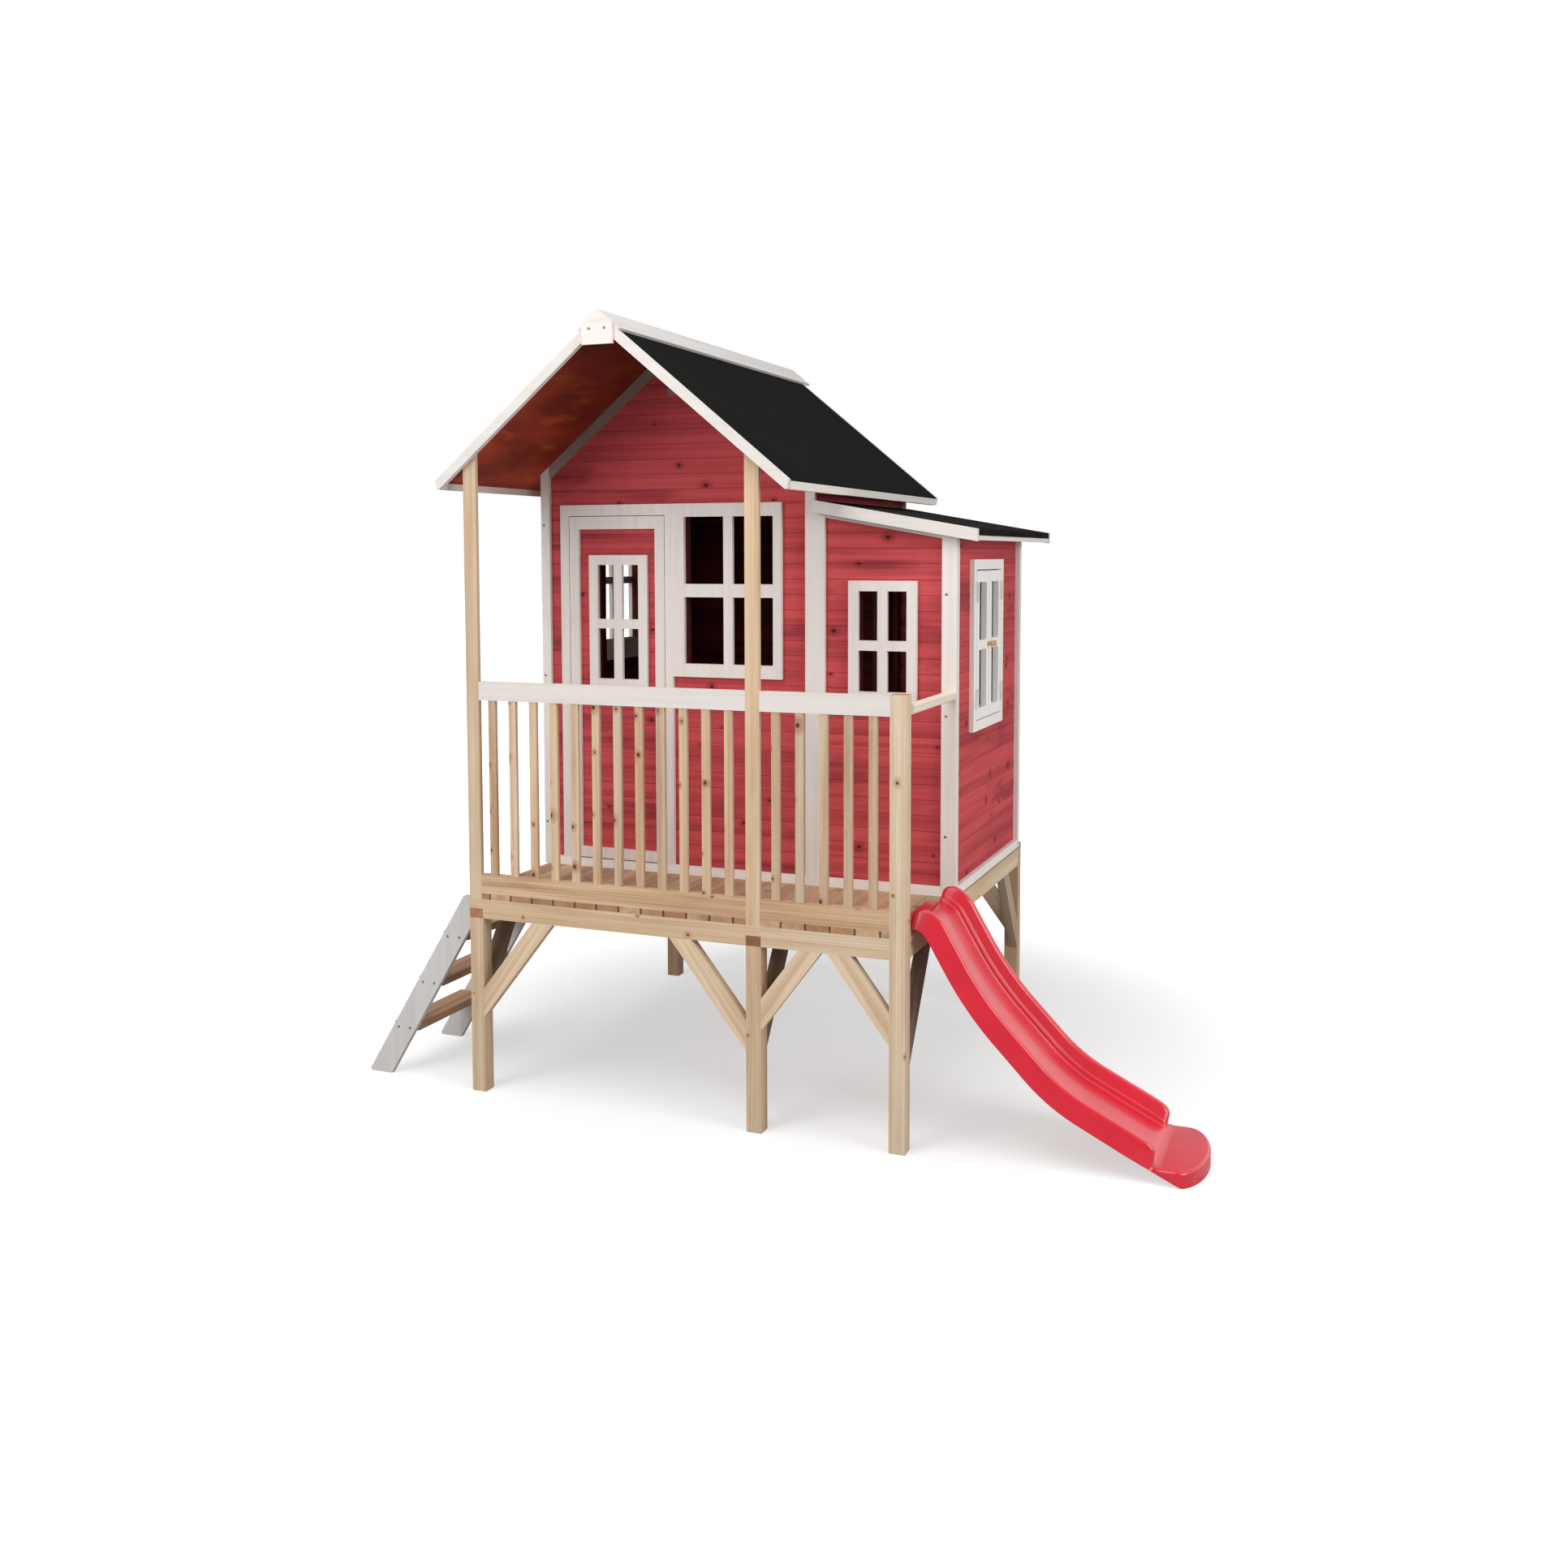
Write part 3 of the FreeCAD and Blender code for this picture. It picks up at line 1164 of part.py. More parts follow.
# The leaves' hinges stand on the outside: the fixed plates lie on the frame's strips and
# the moving ones on the leaves' outer stiles.
leaf_face = knob_face
leaf_pin_out = f"({leaf_face} + hinge_barrel_radius + hinge_stand_off)"
leaf_pins = {
    "front": f"({side_hole_start} + leaf_gap / 2)",
    "back": f"({side_hole_end} - leaf_gap / 2)",
}
window_plates = []
for name, pin_deep in leaf_pins.items():
    moving_halves = []
    for index, level in enumerate((f"({leaf_low} + leaf_rail_width)",
                                   f"({leaf_high} - leaf_rail_width - hinge_height)")):
        near = (leaf_face, f"{pin_deep} - hinge_leaf_width")
        beyond = (leaf_face, pin_deep)
        plates = [near, beyond] if name == "front" else [beyond, near]
        fixed, moving = hinge(
            f"side_{name}_hinge_{index}", (leaf_pin_out, pin_deep), level,
            (plates[0], ("hinge_leaf_thickness", "hinge_leaf_width")),
            (plates[1], ("hinge_leaf_thickness", "hinge_leaf_width")))
        window_plates.append(fixed)
        moving_halves.append(moving)
    finish(f"side_window_{name}_hinge_leaves", moving_halves)
finish("side_window_hinge_plates", window_plates)

# MAIN ROOF. Boards from the ridge to each eave, felt over them, fascias along the eaves,
# barge boards on both gables, a two-board ridge cap and a gusset over the front joint.
roof_end = "(roof_back - barge_thickness)"
roof_left = "(cabin_left - eave_overhang_left)"
roof_right = "(cabin_right + eave_overhang_right)"
roof_boards = []
for side, way, edge in (("left", -1, f"{roof_left} + fascia_thickness"), ("right", 1, f"{roof_right} - fascia_thickness")):
    count = int(sizes["roof_board_count"])
    run = f"({ridge_place} - ({edge}))" if side == "left" else f"(({edge}) - {ridge_place})"
    lean = "(roof_board_thickness * sin(roof_pitch))"
    for index in range(count):
        near = f"({ridge_place} + {way} * {index} / roof_board_count * {run})"
        far = f"({ridge_place} + {way} * {index + 1} / roof_board_count * {run})"
        near_low = near if index == 0 else f"({near} - {way} * {lean})"
        far_low = far if index == count - 1 else f"({far} - {way} * {lean})"
        corners = [
            (near, roof_line(near, "felt_thickness", side)),
            (far, roof_line(far, "felt_thickness", side)),
            (far_low, roof_line(far_low, roof_build, side)),
            (near_low, roof_line(near_low, roof_build, side)),
        ]
        roof_boards.append(outline(f"roof_board_{side}_{index}", "XZ", corners, "0", roof_end))
finish("roof_boards", roof_boards)

felts = []
fascias = []
barges = []
caps = []
for side, way, edge in (("left", -1, roof_left), ("right", 1, roof_right)):
    felt_corners = [
        (ridge_place, roof_line(ridge_place, "0", side)),
        (edge, roof_line(edge, "0", side)),
        (edge, roof_line(edge, "felt_thickness", side)),
        (ridge_place, roof_line(ridge_place, "felt_thickness", side)),
    ]
    felts.append(outline(f"felt_{side}", "XZ", felt_corners, "0", roof_end))
    inner_edge = f"({edge} - {way} * fascia_thickness)"
    fascia_low = f"({roof_line(edge, '0', side)} - fascia_height)"
    fascia_corners = [
        (edge, fascia_low),
        (edge, roof_line(edge, "felt_thickness", side)),
        (inner_edge, roof_line(inner_edge, "felt_thickness", side)),
        (inner_edge, fascia_low),
    ]
    fascias.append(outline(f"fascia_{side}", "XZ", fascia_corners, "0", roof_end))
    barge_low_end = f"({edge} - {way} * barge_end_lean)"
    barge_low = f"({roof_line(edge, '0', side)} - barge_end_height)"
    barge_run = f"((ridge_height - barge_width / cos(roof_pitch) - {barge_low}) / tan(roof_pitch))"
    barge_corners = [
        (ridge_place, roof_line(ridge_place, "0", side)),
        (edge, roof_line(edge, "0", side)),
        (barge_low_end, barge_low),
        (f"({ridge_place} + {way} * {barge_run})", barge_low),
        (ridge_place, roof_line(ridge_place, "barge_width", side)),
    ]
    barges.append(outline(f"barge_front_{side}", "XZ", barge_corners, "0 - barge_thickness", "barge_thickness"))
    barges.append(outline(f"barge_back_{side}", "XZ", barge_corners, roof_end, "barge_thickness"))
    cap_foot = f"({ridge_place} + {way} * ridge_cap_width * cos(roof_pitch))"
    cap_foot_high = f"({cap_foot} + {way} * ridge_cap_thickness * sin(roof_pitch))"
    cap_corners = [
        (ridge_place, roof_line(ridge_place, "0", side)),
        (cap_foot, roof_line(cap_foot, "0", side)),
        (cap_foot_high, roof_line(cap_foot_high, "0 - ridge_cap_thickness", side)),
        (ridge_place, roof_line(ridge_place, "0 - ridge_cap_thickness", side)),
    ]
    cap_length = f"{ridge_cap_end} + barge_thickness"
    caps.append(outline(f"ridge_cap_{side}", "XZ", cap_corners, "0 - barge_thickness", cap_length))
finish("roof_felt", felts)
finish("eave_fascias", fascias)
finish("ridge_cap", caps)

gusset_left = f"({ridge_place} - gusset_half_width)"
gusset_right = f"({ridge_place} + gusset_half_width)"
gusset_top = "(ridge_height + gusset_rise)"
gusset_shoulder = f"({gusset_top} - gusset_half_width * tan(roof_pitch))"
gusset_corners = [
    (gusset_left, "ridge_height - gusset_drop"),
    (gusset_right, "ridge_height - gusset_drop"),
    (gusset_right, gusset_shoulder),
    (ridge_place, gusset_top),
    (gusset_left, gusset_shoulder),
]
finish("ridge_gussets", [
    outline("gusset_front", "XZ", gusset_corners, f"0 - {front_overhang}", "gusset_thickness"),
])

# LEAN-TO ROOF. Boards down the slope, felt that turns down over the eave, and a fascia,
# barge boards and a batten along the cabin wall.
small_front = "(lean_to_roof_front + barge_thickness)"
small_depth = f"({roof_end} - {small_front})"
small_edge = f"({lean_to_start} + lean_to_roof_reach)"
small_inner = f"({small_edge} - lean_to_fascia_thickness)"
small_boards = []
small_count = int(sizes["lean_to_roof_board_count"])
for index in range(small_count):
    share = f"({small_inner} - {lean_to_start}) / lean_to_roof_board_count"
    near = f"({lean_to_start} + {index} * {share})"
    far = f"({lean_to_start} + {index + 1} * {share})"
    corners = [
        (near, lean_to_line(near, roof_build)),
        (far, lean_to_line(far, roof_build)),
        (far, lean_to_line(far, "felt_thickness")),
        (near, lean_to_line(near, "felt_thickness")),
    ]
    small_boards.append(outline(f"lean_to_roof_board_{index}", "XZ", corners, small_front, small_depth))
finish("lean_to_roof_boards", small_boards)

felt_edge = f"({small_edge} + felt_thickness)"
turn_low = f"({lean_to_line(felt_edge, '0')} - felt_turn_down)"
small_felt = [
    (lean_to_start, lean_to_line(lean_to_start, "0")),
    (felt_edge, lean_to_line(felt_edge, "0")),
    (felt_edge, turn_low),
    (small_edge, turn_low),
    (small_edge, lean_to_line(small_edge, "felt_thickness")),
    (lean_to_start, lean_to_line(lean_to_start, "felt_thickness")),
]
finish("lean_to_roof_felt", [outline("lean_to_felt", "XZ", small_felt, small_front, small_depth)])

small_barge = [
    (lean_to_start, f"{lean_to_line(lean_to_start, '0')} - lean_to_barge_height"),
    (felt_edge, f"{lean_to_line(felt_edge, '0')} - lean_to_barge_height"),
    (felt_edge, lean_to_line(felt_edge, "0")),
    (lean_to_start, lean_to_line(lean_to_start, "0")),
]
barges.append(outline("lean_to_barge_front", "XZ", small_barge, "lean_to_roof_front", "barge_thickness"))
barges.append(outline("lean_to_barge_back", "XZ", small_barge, roof_end, "barge_thickness"))
finish("barge_boards", barges)

small_fascia_low = f"({lean_to_line(small_edge, 'felt_thickness')} - lean_to_fascia_height)"
small_fascia = [
    (small_inner, small_fascia_low),
    (small_edge, small_fascia_low),
    (small_edge, lean_to_line(small_edge, "felt_thickness")),
    (small_inner, lean_to_line(small_inner, "felt_thickness")),
]
batten_low = lean_to_line("cabin_right", roof_build)
finish("lean_to_roof_trims", [
    outline("lean_to_fascia", "XZ", small_fascia, small_front, small_depth),
    bar("lean_to_wall_batten", ("cabin_right", "cabin_front", batten_low),
        ("trim_thickness", f"{side_far} - cabin_front", f"lean_to_roof_height - {batten_low}")),
])

# LADDER. Two stringers lean on the left beam, and three steps are housed between them.
foot_back = "(0 - ladder_foot)"
across_width = "across_width"
stringer_top = f"({beam_top} - ladder_top_drop)"


def stringer_front(level):
    """Where the stringer's front edge lies at a level."""
    return f"({foot_back} - {across_width} + ({level}) / tan(ladder_pitch))"


def stringer_level(place):
    """How high the stringer's front edge is at a place."""
    return f"((({place}) - {foot_back} + {across_width}) * tan(ladder_pitch))"


stringer_corners = [
    (foot_back, "0"),
    ("0", "ladder_foot * tan(ladder_pitch)"),
    ("0", stringer_top),
    (stringer_front(stringer_top), stringer_top),
    ("0 - ladder_reach", stringer_level("0 - ladder_reach")),
    ("0 - ladder_reach", "0"),
]
far_stringer = "(stringer_place + ladder_width - stringer_thickness)"
finish("ladder_stringers", [
    outline("stringer_near", "XZ", stringer_corners, "stringer_place", "stringer_thickness"),
    outline("stringer_far", "XZ", stringer_corners, far_stringer, "stringer_thickness"),
])
steps = []
for index in range(int(sizes["step_count"])):
    top = f"({index + 1} * step_rise)"
    front = f"({stringer_front(top)} - step_overhang)"
    place = (front, "stringer_place + stringer_thickness", f"{top} - step_thickness / 2")
    extent = (f"({across_width} + step_overhang)", f"({far_stringer} - stringer_place - stringer_thickness)",
              "step_thickness")
    steps.append(bar(f"step_{index}", place, extent))
finish("ladder_steps", steps)


# SLIDE. One thin-walled moulding: a chute between two raised rails with outer skirts, swept
# along three straight falls joined by tangent bends, and a blunt nose that lies on the ground.
def size(alias):
    """One driving size as a number."""
    return float(sheet.get(alias))


def rounded_path(points, radii):
    """Edges through the points in order, each inner corner rounded by a tangent arc."""
    edges = []
    here = points[0]
    for index in range(1, len(points) - 1):
        corner = points[index]
        back = (points[index - 1] - corner).normalize()
        ahead = (points[index + 1] - corner).normalize()
        half = back.getAngle(ahead) / 2
        radius = radii[index - 1]
        if radius > 0:
            reach = radius / math.tan(half)
            inward = (back + ahead).normalize()
            start = corner + back * reach
            end = corner + ahead * reach
            middle = corner + inward * (radius / math.sin(half) - radius)
            edges.append(Part.LineSegment(here, start).toShape())
            edges.append(Part.Arc(start, middle, end).toShape())
            here = end
        else:
            edges.append(Part.LineSegment(here, corner).toShape())
            here = corner
    edges.append(Part.LineSegment(here, points[-1]).toShape())
    return edges


deck_edge = size("deck_length")
slide_middle = size("slide_place") + size("slide_width") / 2
lip_level = floor_level + size("slide_lip_rise")
top_slope = math.tan(math.radians(size("slide_top_angle")))
middle_slope = math.tan(math.radians(size("slide_middle_angle")))
low_slope = math.tan(math.radians(size("slide_low_angle")))
nose_top = size("slide_nose_height")
drop = lip_level - nose_top
top_fall = drop * size("slide_top_fall_share")
middle_fall = drop * size("slide_middle_fall_share")
low_fall = drop - top_fall - middle_fall
crest = FreeCAD.Vector(deck_edge + size("slide_lip_length"), slide_middle, lip_level)
first_bend = crest + FreeCAD.Vector(top_fall / top_slope, 0, -top_fall)
second_bend = first_bend + FreeCAD.Vector(middle_fall / middle_slope, 0, -middle_fall)
chute_end = second_bend + FreeCAD.Vector(low_fall / low_slope, 0, -low_fall)
lip = FreeCAD.Vector(deck_edge, slide_middle, lip_level)
spine = rounded_path([lip, crest, first_bend, second_bend, chute_end],
                     [size("slide_top_bend"), size("slide_middle_bend"), size("slide_low_bend")])

chute_half = size("slide_chute_width") / 2
rail_foot = chute_half + size("slide_rail_lean")
skirt_half = size("slide_width") / 2
rail_top = size("slide_rail_height")
skirt_top = skirt_half - size("slide_skirt_lean")
skirt_low = -size("slide_skirt_drop")
wall = size("slide_wall")
outer = [
    (-skirt_half, skirt_low),
    (-skirt_top, rail_top),
    (-rail_foot, rail_top),
    (-chute_half, 0),
    (chute_half, 0),
    (rail_foot, rail_top),
    (skirt_top, rail_top),
    (skirt_half, skirt_low),
]
inner = [
    (skirt_half - wall, skirt_low),
    (skirt_top - wall, rail_top - wall),
    (rail_foot + wall, rail_top - wall),
    (chute_half + wall / 2, -wall),
    (-chute_half - wall / 2, -wall),
    (-rail_foot - wall, rail_top - wall),
    (-skirt_top + wall, rail_top - wall),
    (-skirt_half + wall, skirt_low),
]
round_rail = size("slide_rail_rounding")
round_chute = size("slide_chute_rounding")


def section_edges(points, rail_radius, chute_radius):
    """One open side of the section as edges across the slide's start."""
    placed = [FreeCAD.Vector(deck_edge, slide_middle + across, lip_level + up) for across, up in points]
    radii = [rail_radius, rail_radius, chute_radius, chute_radius, rail_radius, rail_radius]
    return rounded_path(placed, radii)


upper = section_edges(outer, round_rail, round_chute)
lower = section_edges(inner, 0, 0)
start_point = upper[0].Vertexes[0].Point
turn_point = upper[-1].Vertexes[-1].Point
side_edges = [
    Part.LineSegment(turn_point, lower[0].Vertexes[0].Point).toShape(),
    Part.LineSegment(lower[-1].Vertexes[-1].Point, start_point).toShape(),
]
section = Part.Wire(Part.__sortEdges__(upper + lower + side_edges))
channel = Part.Wire(spine).makePipeShell([section], True, True)
filled_section = Part.Wire(Part.__sortEdges__(upper + [Part.LineSegment(turn_point, start_point).toShape()]))
filled = Part.Wire(spine).makePipeShell([filled_section], True, True)


def side_prism(edges):
    """A closed side outline in the XZ plane, made into a solid across the whole slide."""
    face = Part.Face(Part.Wire(edges))
    return face.extrude(FreeCAD.Vector(0, 2 * size("slide_width"), 0))


def side_point(across, up):
    """A point of a side outline, beyond the slide's near side."""
    return FreeCAD.Vector(across, slide_middle - size("slide_width"), up)


def closed_outline(start_edges, corners):
    """The edges with straight lines through the corners back to where they began."""
    edges = list(start_edges)
    begin = edges[0].Vertexes[0].Point
    here = edges[-1].Vertexes[-1].Point
    for corner in corners + [begin]:
        edges.append(Part.LineSegment(here, corner).toShape())
        here = corner
    return edges


# The rails rise from the lip in a curve, and their hollow is closed along it by one wall.
entry_end = deck_edge + size("slide_entry_length")
rail_crest = lip_level + rail_top
entry_low = lip_level + size("slide_entry_start")


def entry_curve(inset):
    """The curve up which the rails rise, moved inward by an inset."""
    low = side_point(deck_edge + inset, entry_low)
    high = side_point(entry_end + inset, rail_crest)
    along = deck_edge + inset + (entry_end - deck_edge) * size("slide_entry_run_share")
    middle = side_point(along, entry_low + (rail_crest - entry_low) * size("slide_entry_rise_share"))
    return [Part.Arc(low, middle, high).toShape()]


above = rail_crest + rail_top
entry_removed = side_prism(closed_outline(entry_curve(0), [
    side_point(entry_end, above),
    side_point(deck_edge - wall, above),
    side_point(deck_edge - wall, entry_low),
]))
entry_beyond = side_prism(closed_outline(entry_curve(wall), [
    side_point(entry_end + wall, above),
    side_point(deck_edge - wall, above),
    side_point(deck_edge - wall, lip_level),
    side_point(deck_edge + wall, lip_level),
]))
entry_cap = filled.common(entry_beyond).cut(entry_removed)

# At the foot the rails end in a round drop, and one wall closes their hollow there too.
rail_end = chute_end.x - size("slide_rail_setback")
end_radius = size("slide_rail_end_radius")
low_angle = math.radians(size("slide_low_angle"))


def chute_level(place):
    """Height of the chute's surface on its last straight fall."""
    return chute_end.z + (chute_end.x - place) * low_slope


def end_outline(inset):
    """Everything beyond the rails' round ends, above the chute."""
    face_place = rail_end - inset
    ridge_shift = (rail_top - inset) / math.cos(low_angle)
    far = FreeCAD.Vector(chute_end.x + end_radius * 2, slide_middle - size("slide_width"), 0)
    start = side_point(second_bend.x + size("slide_low_bend") / 2, 0)
    start.z = chute_level(start.x) + ridge_shift
    corner = side_point(face_place, chute_level(face_place) + ridge_shift)
    bottom = side_point(face_place, chute_level(face_place))
    curve = rounded_path([start, corner, bottom], [end_radius - inset])
    return closed_outline(curve, [
        side_point(far.x, chute_level(face_place)),
        side_point(far.x, start.z + rail_top),
        side_point(start.x, start.z + rail_top),
    ])


end_removed = side_prism(end_outline(0))
end_beyond = side_prism(end_outline(wall))
end_band = end_beyond.cut(end_removed)
end_band_box = Part.makeBox(end_radius * 2, 2 * size("slide_width"), rail_top * 3,
                            side_point(rail_end - end_radius * 2, chute_level(rail_end)))
end_cap = filled.common(end_band).common(end_band_box)

# The lip is a closed pad that lies on the deck in front of the chute.
lip_pad = Part.makeBox(size("slide_lip_overlap") + wall, size("slide_chute_width"), lip_level - floor_level,
                       FreeCAD.Vector(deck_edge - size("slide_lip_overlap"), slide_middle - chute_half, floor_level))
pad_edges = [edge for edge in lip_pad.Edges
             if edge.BoundBox.XMax < deck_edge - size("slide_lip_overlap") / 2 and edge.BoundBox.ZMin > floor_level]
lip_pad = lip_pad.makeFillet(wall, pad_edges)

# The nose has a bowed front, a rounded upper edge, an underside that rises to the skirts
# and a shallow sunk panel round its front.
nose_tip = chute_end.x + size("slide_nose_reach")
nose_back = nose_tip - size("slide_nose_length")
nose_half = size("slide_nose_width") / 2
nose_shoulder = nose_tip - size("slide_nose_bulge")


def nose_block(inset, low, high):
    """The nose's plan drawn in by an inset, between two levels."""
    half = nose_half - inset
    corners = [FreeCAD.Vector(place, slide_middle + side * half, low)
               for place, side in ((nose_back, -1), (nose_shoulder, -1), (nose_shoulder, 1), (nose_back, 1))]
    tip = FreeCAD.Vector(nose_tip - inset, slide_middle, low)
    edges = [
        Part.LineSegment(corners[0], corners[1]).toShape(),
        Part.Arc(corners[1], tip, corners[2]).toShape(),
        Part.LineSegment(corners[2], corners[3]).toShape(),
        Part.LineSegment(corners[3], corners[0]).toShape(),
    ]
    block = Part.Face(Part.Wire(edges)).extrude(FreeCAD.Vector(0, 0, high - low))
    shoulders = [edge for edge in block.Edges
                 if edge.BoundBox.ZLength > (high - low) / 2 and edge.BoundBox.XMin > nose_shoulder - wall]
    return block.makeFillet(size("slide_nose_corner") - inset, shoulders)


nose = nose_block(0, 0, nose_top)
top_edges = [edge for edge in nose.Edges
             if edge.BoundBox.ZMin > nose_top / 2 and edge.BoundBox.XMax > nose_back + wall]
nose = nose.makeFillet(size("slide_nose_edge"), top_edges)
panel_low = size("slide_panel_margin")
panel_high = nose_top - size("slide_nose_edge") - wall / 2
panel_ring = nose_block(-wall, panel_low, panel_high).cut(nose_block(size("slide_panel_depth"), panel_low, panel_high))
panel_half = size("slide_panel_width") / 2
panel_space = Part.makeBox(size("slide_nose_length"), 2 * panel_half, nose_top,
                           FreeCAD.Vector(nose_shoulder + wall, slide_middle - panel_half, 0))
nose = nose.cut(panel_ring.common(panel_space))
skirt_end = chute_end + FreeCAD.Vector(skirt_low * math.sin(low_angle), 0, skirt_low * math.cos(low_angle))
nose_foot = nose_tip - size("slide_nose_foot")
underside = side_prism(closed_outline([
    Part.LineSegment(side_point(nose_foot, 0), side_point(skirt_end.x, skirt_end.z)).toShape(),
], [
    side_point(nose_back - wall, skirt_end.z + (skirt_end.x - nose_back + wall) * low_slope),
    side_point(nose_back - wall, -wall),
    side_point(nose_foot, -wall),
]))
nose = nose.cut(underside)

moulding = channel.cut(entry_removed).cut(end_removed)
for piece in (entry_cap, end_cap, lip_pad, nose):
    moulding = moulding.fuse(piece)
moulding = moulding.removeSplitter()
slide_form = doc.addObject("Part::Feature", "slide_moulding")
slide_form.Shape = moulding
finish("slide", [slide_form])


# SCREWS. Low round heads on the stringers and the gusset.
heads = []


def screw(label, across, deep, up, facing):
    """One screw head that stands on a face and looks along an axis."""
    turns = {
        "front": (FreeCAD.Vector(1, 0, 0), 90),
        "back": (FreeCAD.Vector(1, 0, 0), -90),
        "right": (FreeCAD.Vector(0, 1, 0), 90),
        "left": (FreeCAD.Vector(0, 1, 0), -90),
    }
    head = doc.addObject("Part::Cylinder", label)
    axis, angle = turns[facing]
    head.Placement = FreeCAD.Placement(FreeCAD.Vector(), axis, angle)
    for field, place in zip("xyz", (across, deep, up)):
        bind(head, "Placement.Base." + field, place)
    bind(head, "Radius", "screw_head_radius")
    bind(head, "Height", "screw_head_height")
    heads.append(head)


for index in range(int(sizes["step_count"])):
    level = f"({index + 1} * step_rise)"
    for number, share in enumerate(("step_near_screw_share", "step_far_screw_share")):
        across = f"({stringer_front(level)} + {share} * {across_width})"
        screw(f"step_screw_near_{index}_{number}", across, "stringer_place", level, "front")
        screw(f"step_screw_far_{index}_{number}", across, "stringer_place + ladder_width", level, "back")
for number, way in enumerate((-1, 1)):
    screw(f"gusset_screw_{number}", f"{ridge_place} + {way} * gusset_half_width / 2", f"0 - {front_overhang}",
          "ridge_height - gusset_drop / 2", "front")
finish("screws", heads)

# Every object is worked out and looked over before anything is written.
doc.recompute()
for item in doc.Objects:
    if "Invalid" in item.State or "Error" in item.State:
        raise RuntimeError("failed: " + item.Label + " " + str(item.State))
os.makedirs("parts", exist_ok=True)
for node in nodes:
    if node.Shape.isNull() or not node.Shape.isValid() or not node.Shape.Solids:
        raise RuntimeError("bad shape: " + node.Label)
for node in nodes:
    node.Shape.exportStep("parts/" + node.Label + ".step")
print("sub-parts", len(nodes), "solids", sum(len(node.Shape.Solids) for node in nodes))
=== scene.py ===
import math
import random

import bpy
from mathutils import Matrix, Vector


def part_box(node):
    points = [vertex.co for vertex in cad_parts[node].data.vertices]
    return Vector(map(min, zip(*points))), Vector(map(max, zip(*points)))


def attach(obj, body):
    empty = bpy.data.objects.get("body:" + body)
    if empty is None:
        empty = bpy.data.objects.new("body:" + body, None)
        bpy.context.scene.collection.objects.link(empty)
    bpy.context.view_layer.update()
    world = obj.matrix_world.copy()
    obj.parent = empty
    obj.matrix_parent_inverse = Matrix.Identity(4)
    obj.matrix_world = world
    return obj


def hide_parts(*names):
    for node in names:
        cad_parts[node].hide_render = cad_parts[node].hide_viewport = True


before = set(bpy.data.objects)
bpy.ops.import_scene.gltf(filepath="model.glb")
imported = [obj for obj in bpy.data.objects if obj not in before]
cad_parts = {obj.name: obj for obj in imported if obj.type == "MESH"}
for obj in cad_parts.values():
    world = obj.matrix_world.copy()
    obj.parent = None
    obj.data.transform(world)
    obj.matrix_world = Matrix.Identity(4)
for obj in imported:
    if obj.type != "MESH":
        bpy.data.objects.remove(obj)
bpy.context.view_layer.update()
stage_scene = bpy.context.scene

# THE VIEW
# A camera in front of the right-hand side, at an adult's eye height, looking slightly down.
# Its frame sits a little lower than its line of sight, as a shifted lens gives.
eye = bpy.data.objects.new("eye", bpy.data.cameras.new("eye"))
stage_scene.collection.objects.link(eye)
eye.location = (1.636, -4.4549, 1.607)
eye.rotation_euler = (math.radians(86.0), math.radians(0.1), math.radians(21.693))
eye.data.sensor_width = 36.0
eye.data.lens = 34.21
eye.data.shift_x = -0.0007
eye.data.shift_y = -0.0793
eye.data.clip_end = 200.0
stage_scene.camera = eye
stage_scene.view_settings.view_transform = "Standard"


# THE FLOOR AND THE LIGHT
# A pale studio floor that brightens into a white horizon, with wide soft lamps overhead, in front
# and at the right. The floor keeps the soft shadow, and glossy parts mirror a white backdrop.
def shade(code):
    """A colour written as a hex code, as the linear values that a shader takes."""
    parts = [int(code[place:place + 2], 16) / 255 for place in (1, 3, 5)]
    return tuple(p / 12.92 if p <= 0.04045 else ((p + 0.055) / 1.055) ** 2.4 for p in parts) + (1.0,)


class Number:
    """A number socket, so that shader sums on it are written as plain arithmetic."""

    def __init__(self, finish, socket):
        self.finish = finish
        self.socket = socket

    def sum(self, operation, *terms):
        made = self.finish.node("ShaderNodeMath", {"operation": operation}, dict(enumerate(terms)))
        return Number(self.finish, made.outputs[0])

    def __add__(self, other):
        return self.sum("ADD", self, other)

    def __sub__(self, other):
        return self.sum("SUBTRACT", self, other)

    def __rsub__(self, other):
        return self.sum("SUBTRACT", other, self)

    def __mul__(self, other):
        return self.sum("MULTIPLY", self, other)

    def __truediv__(self, other):
        return self.sum("DIVIDE", self, other)

    def __pow__(self, other):
        return self.sum("POWER", self, other)

    def __abs__(self):
        return self.sum("ABSOLUTE", self)

    def __gt__(self, other):
        return self.sum("GREATER_THAN", self, other)

    def __lt__(self, other):
        return self.sum("LESS_THAN", self, other)

    __radd__ = __add__
    __rmul__ = __mul__

    def whole(self):
        return self.sum("FLOOR", self)

    def wave(self):
        return self.sum("SINE", self)

    def least(self, other):
        return self.sum("MINIMUM", self, other)

    def fade(self, start, end):
        """0 at the start value, 1 at the end value, with a soft step between."""
        made = self.finish.node("ShaderNodeMapRange", {"interpolation_type": "SMOOTHSTEP"},
                                {"Value": self, "From Min": start, "From Max": end})
        return Number(self.finish, made.outputs[0])


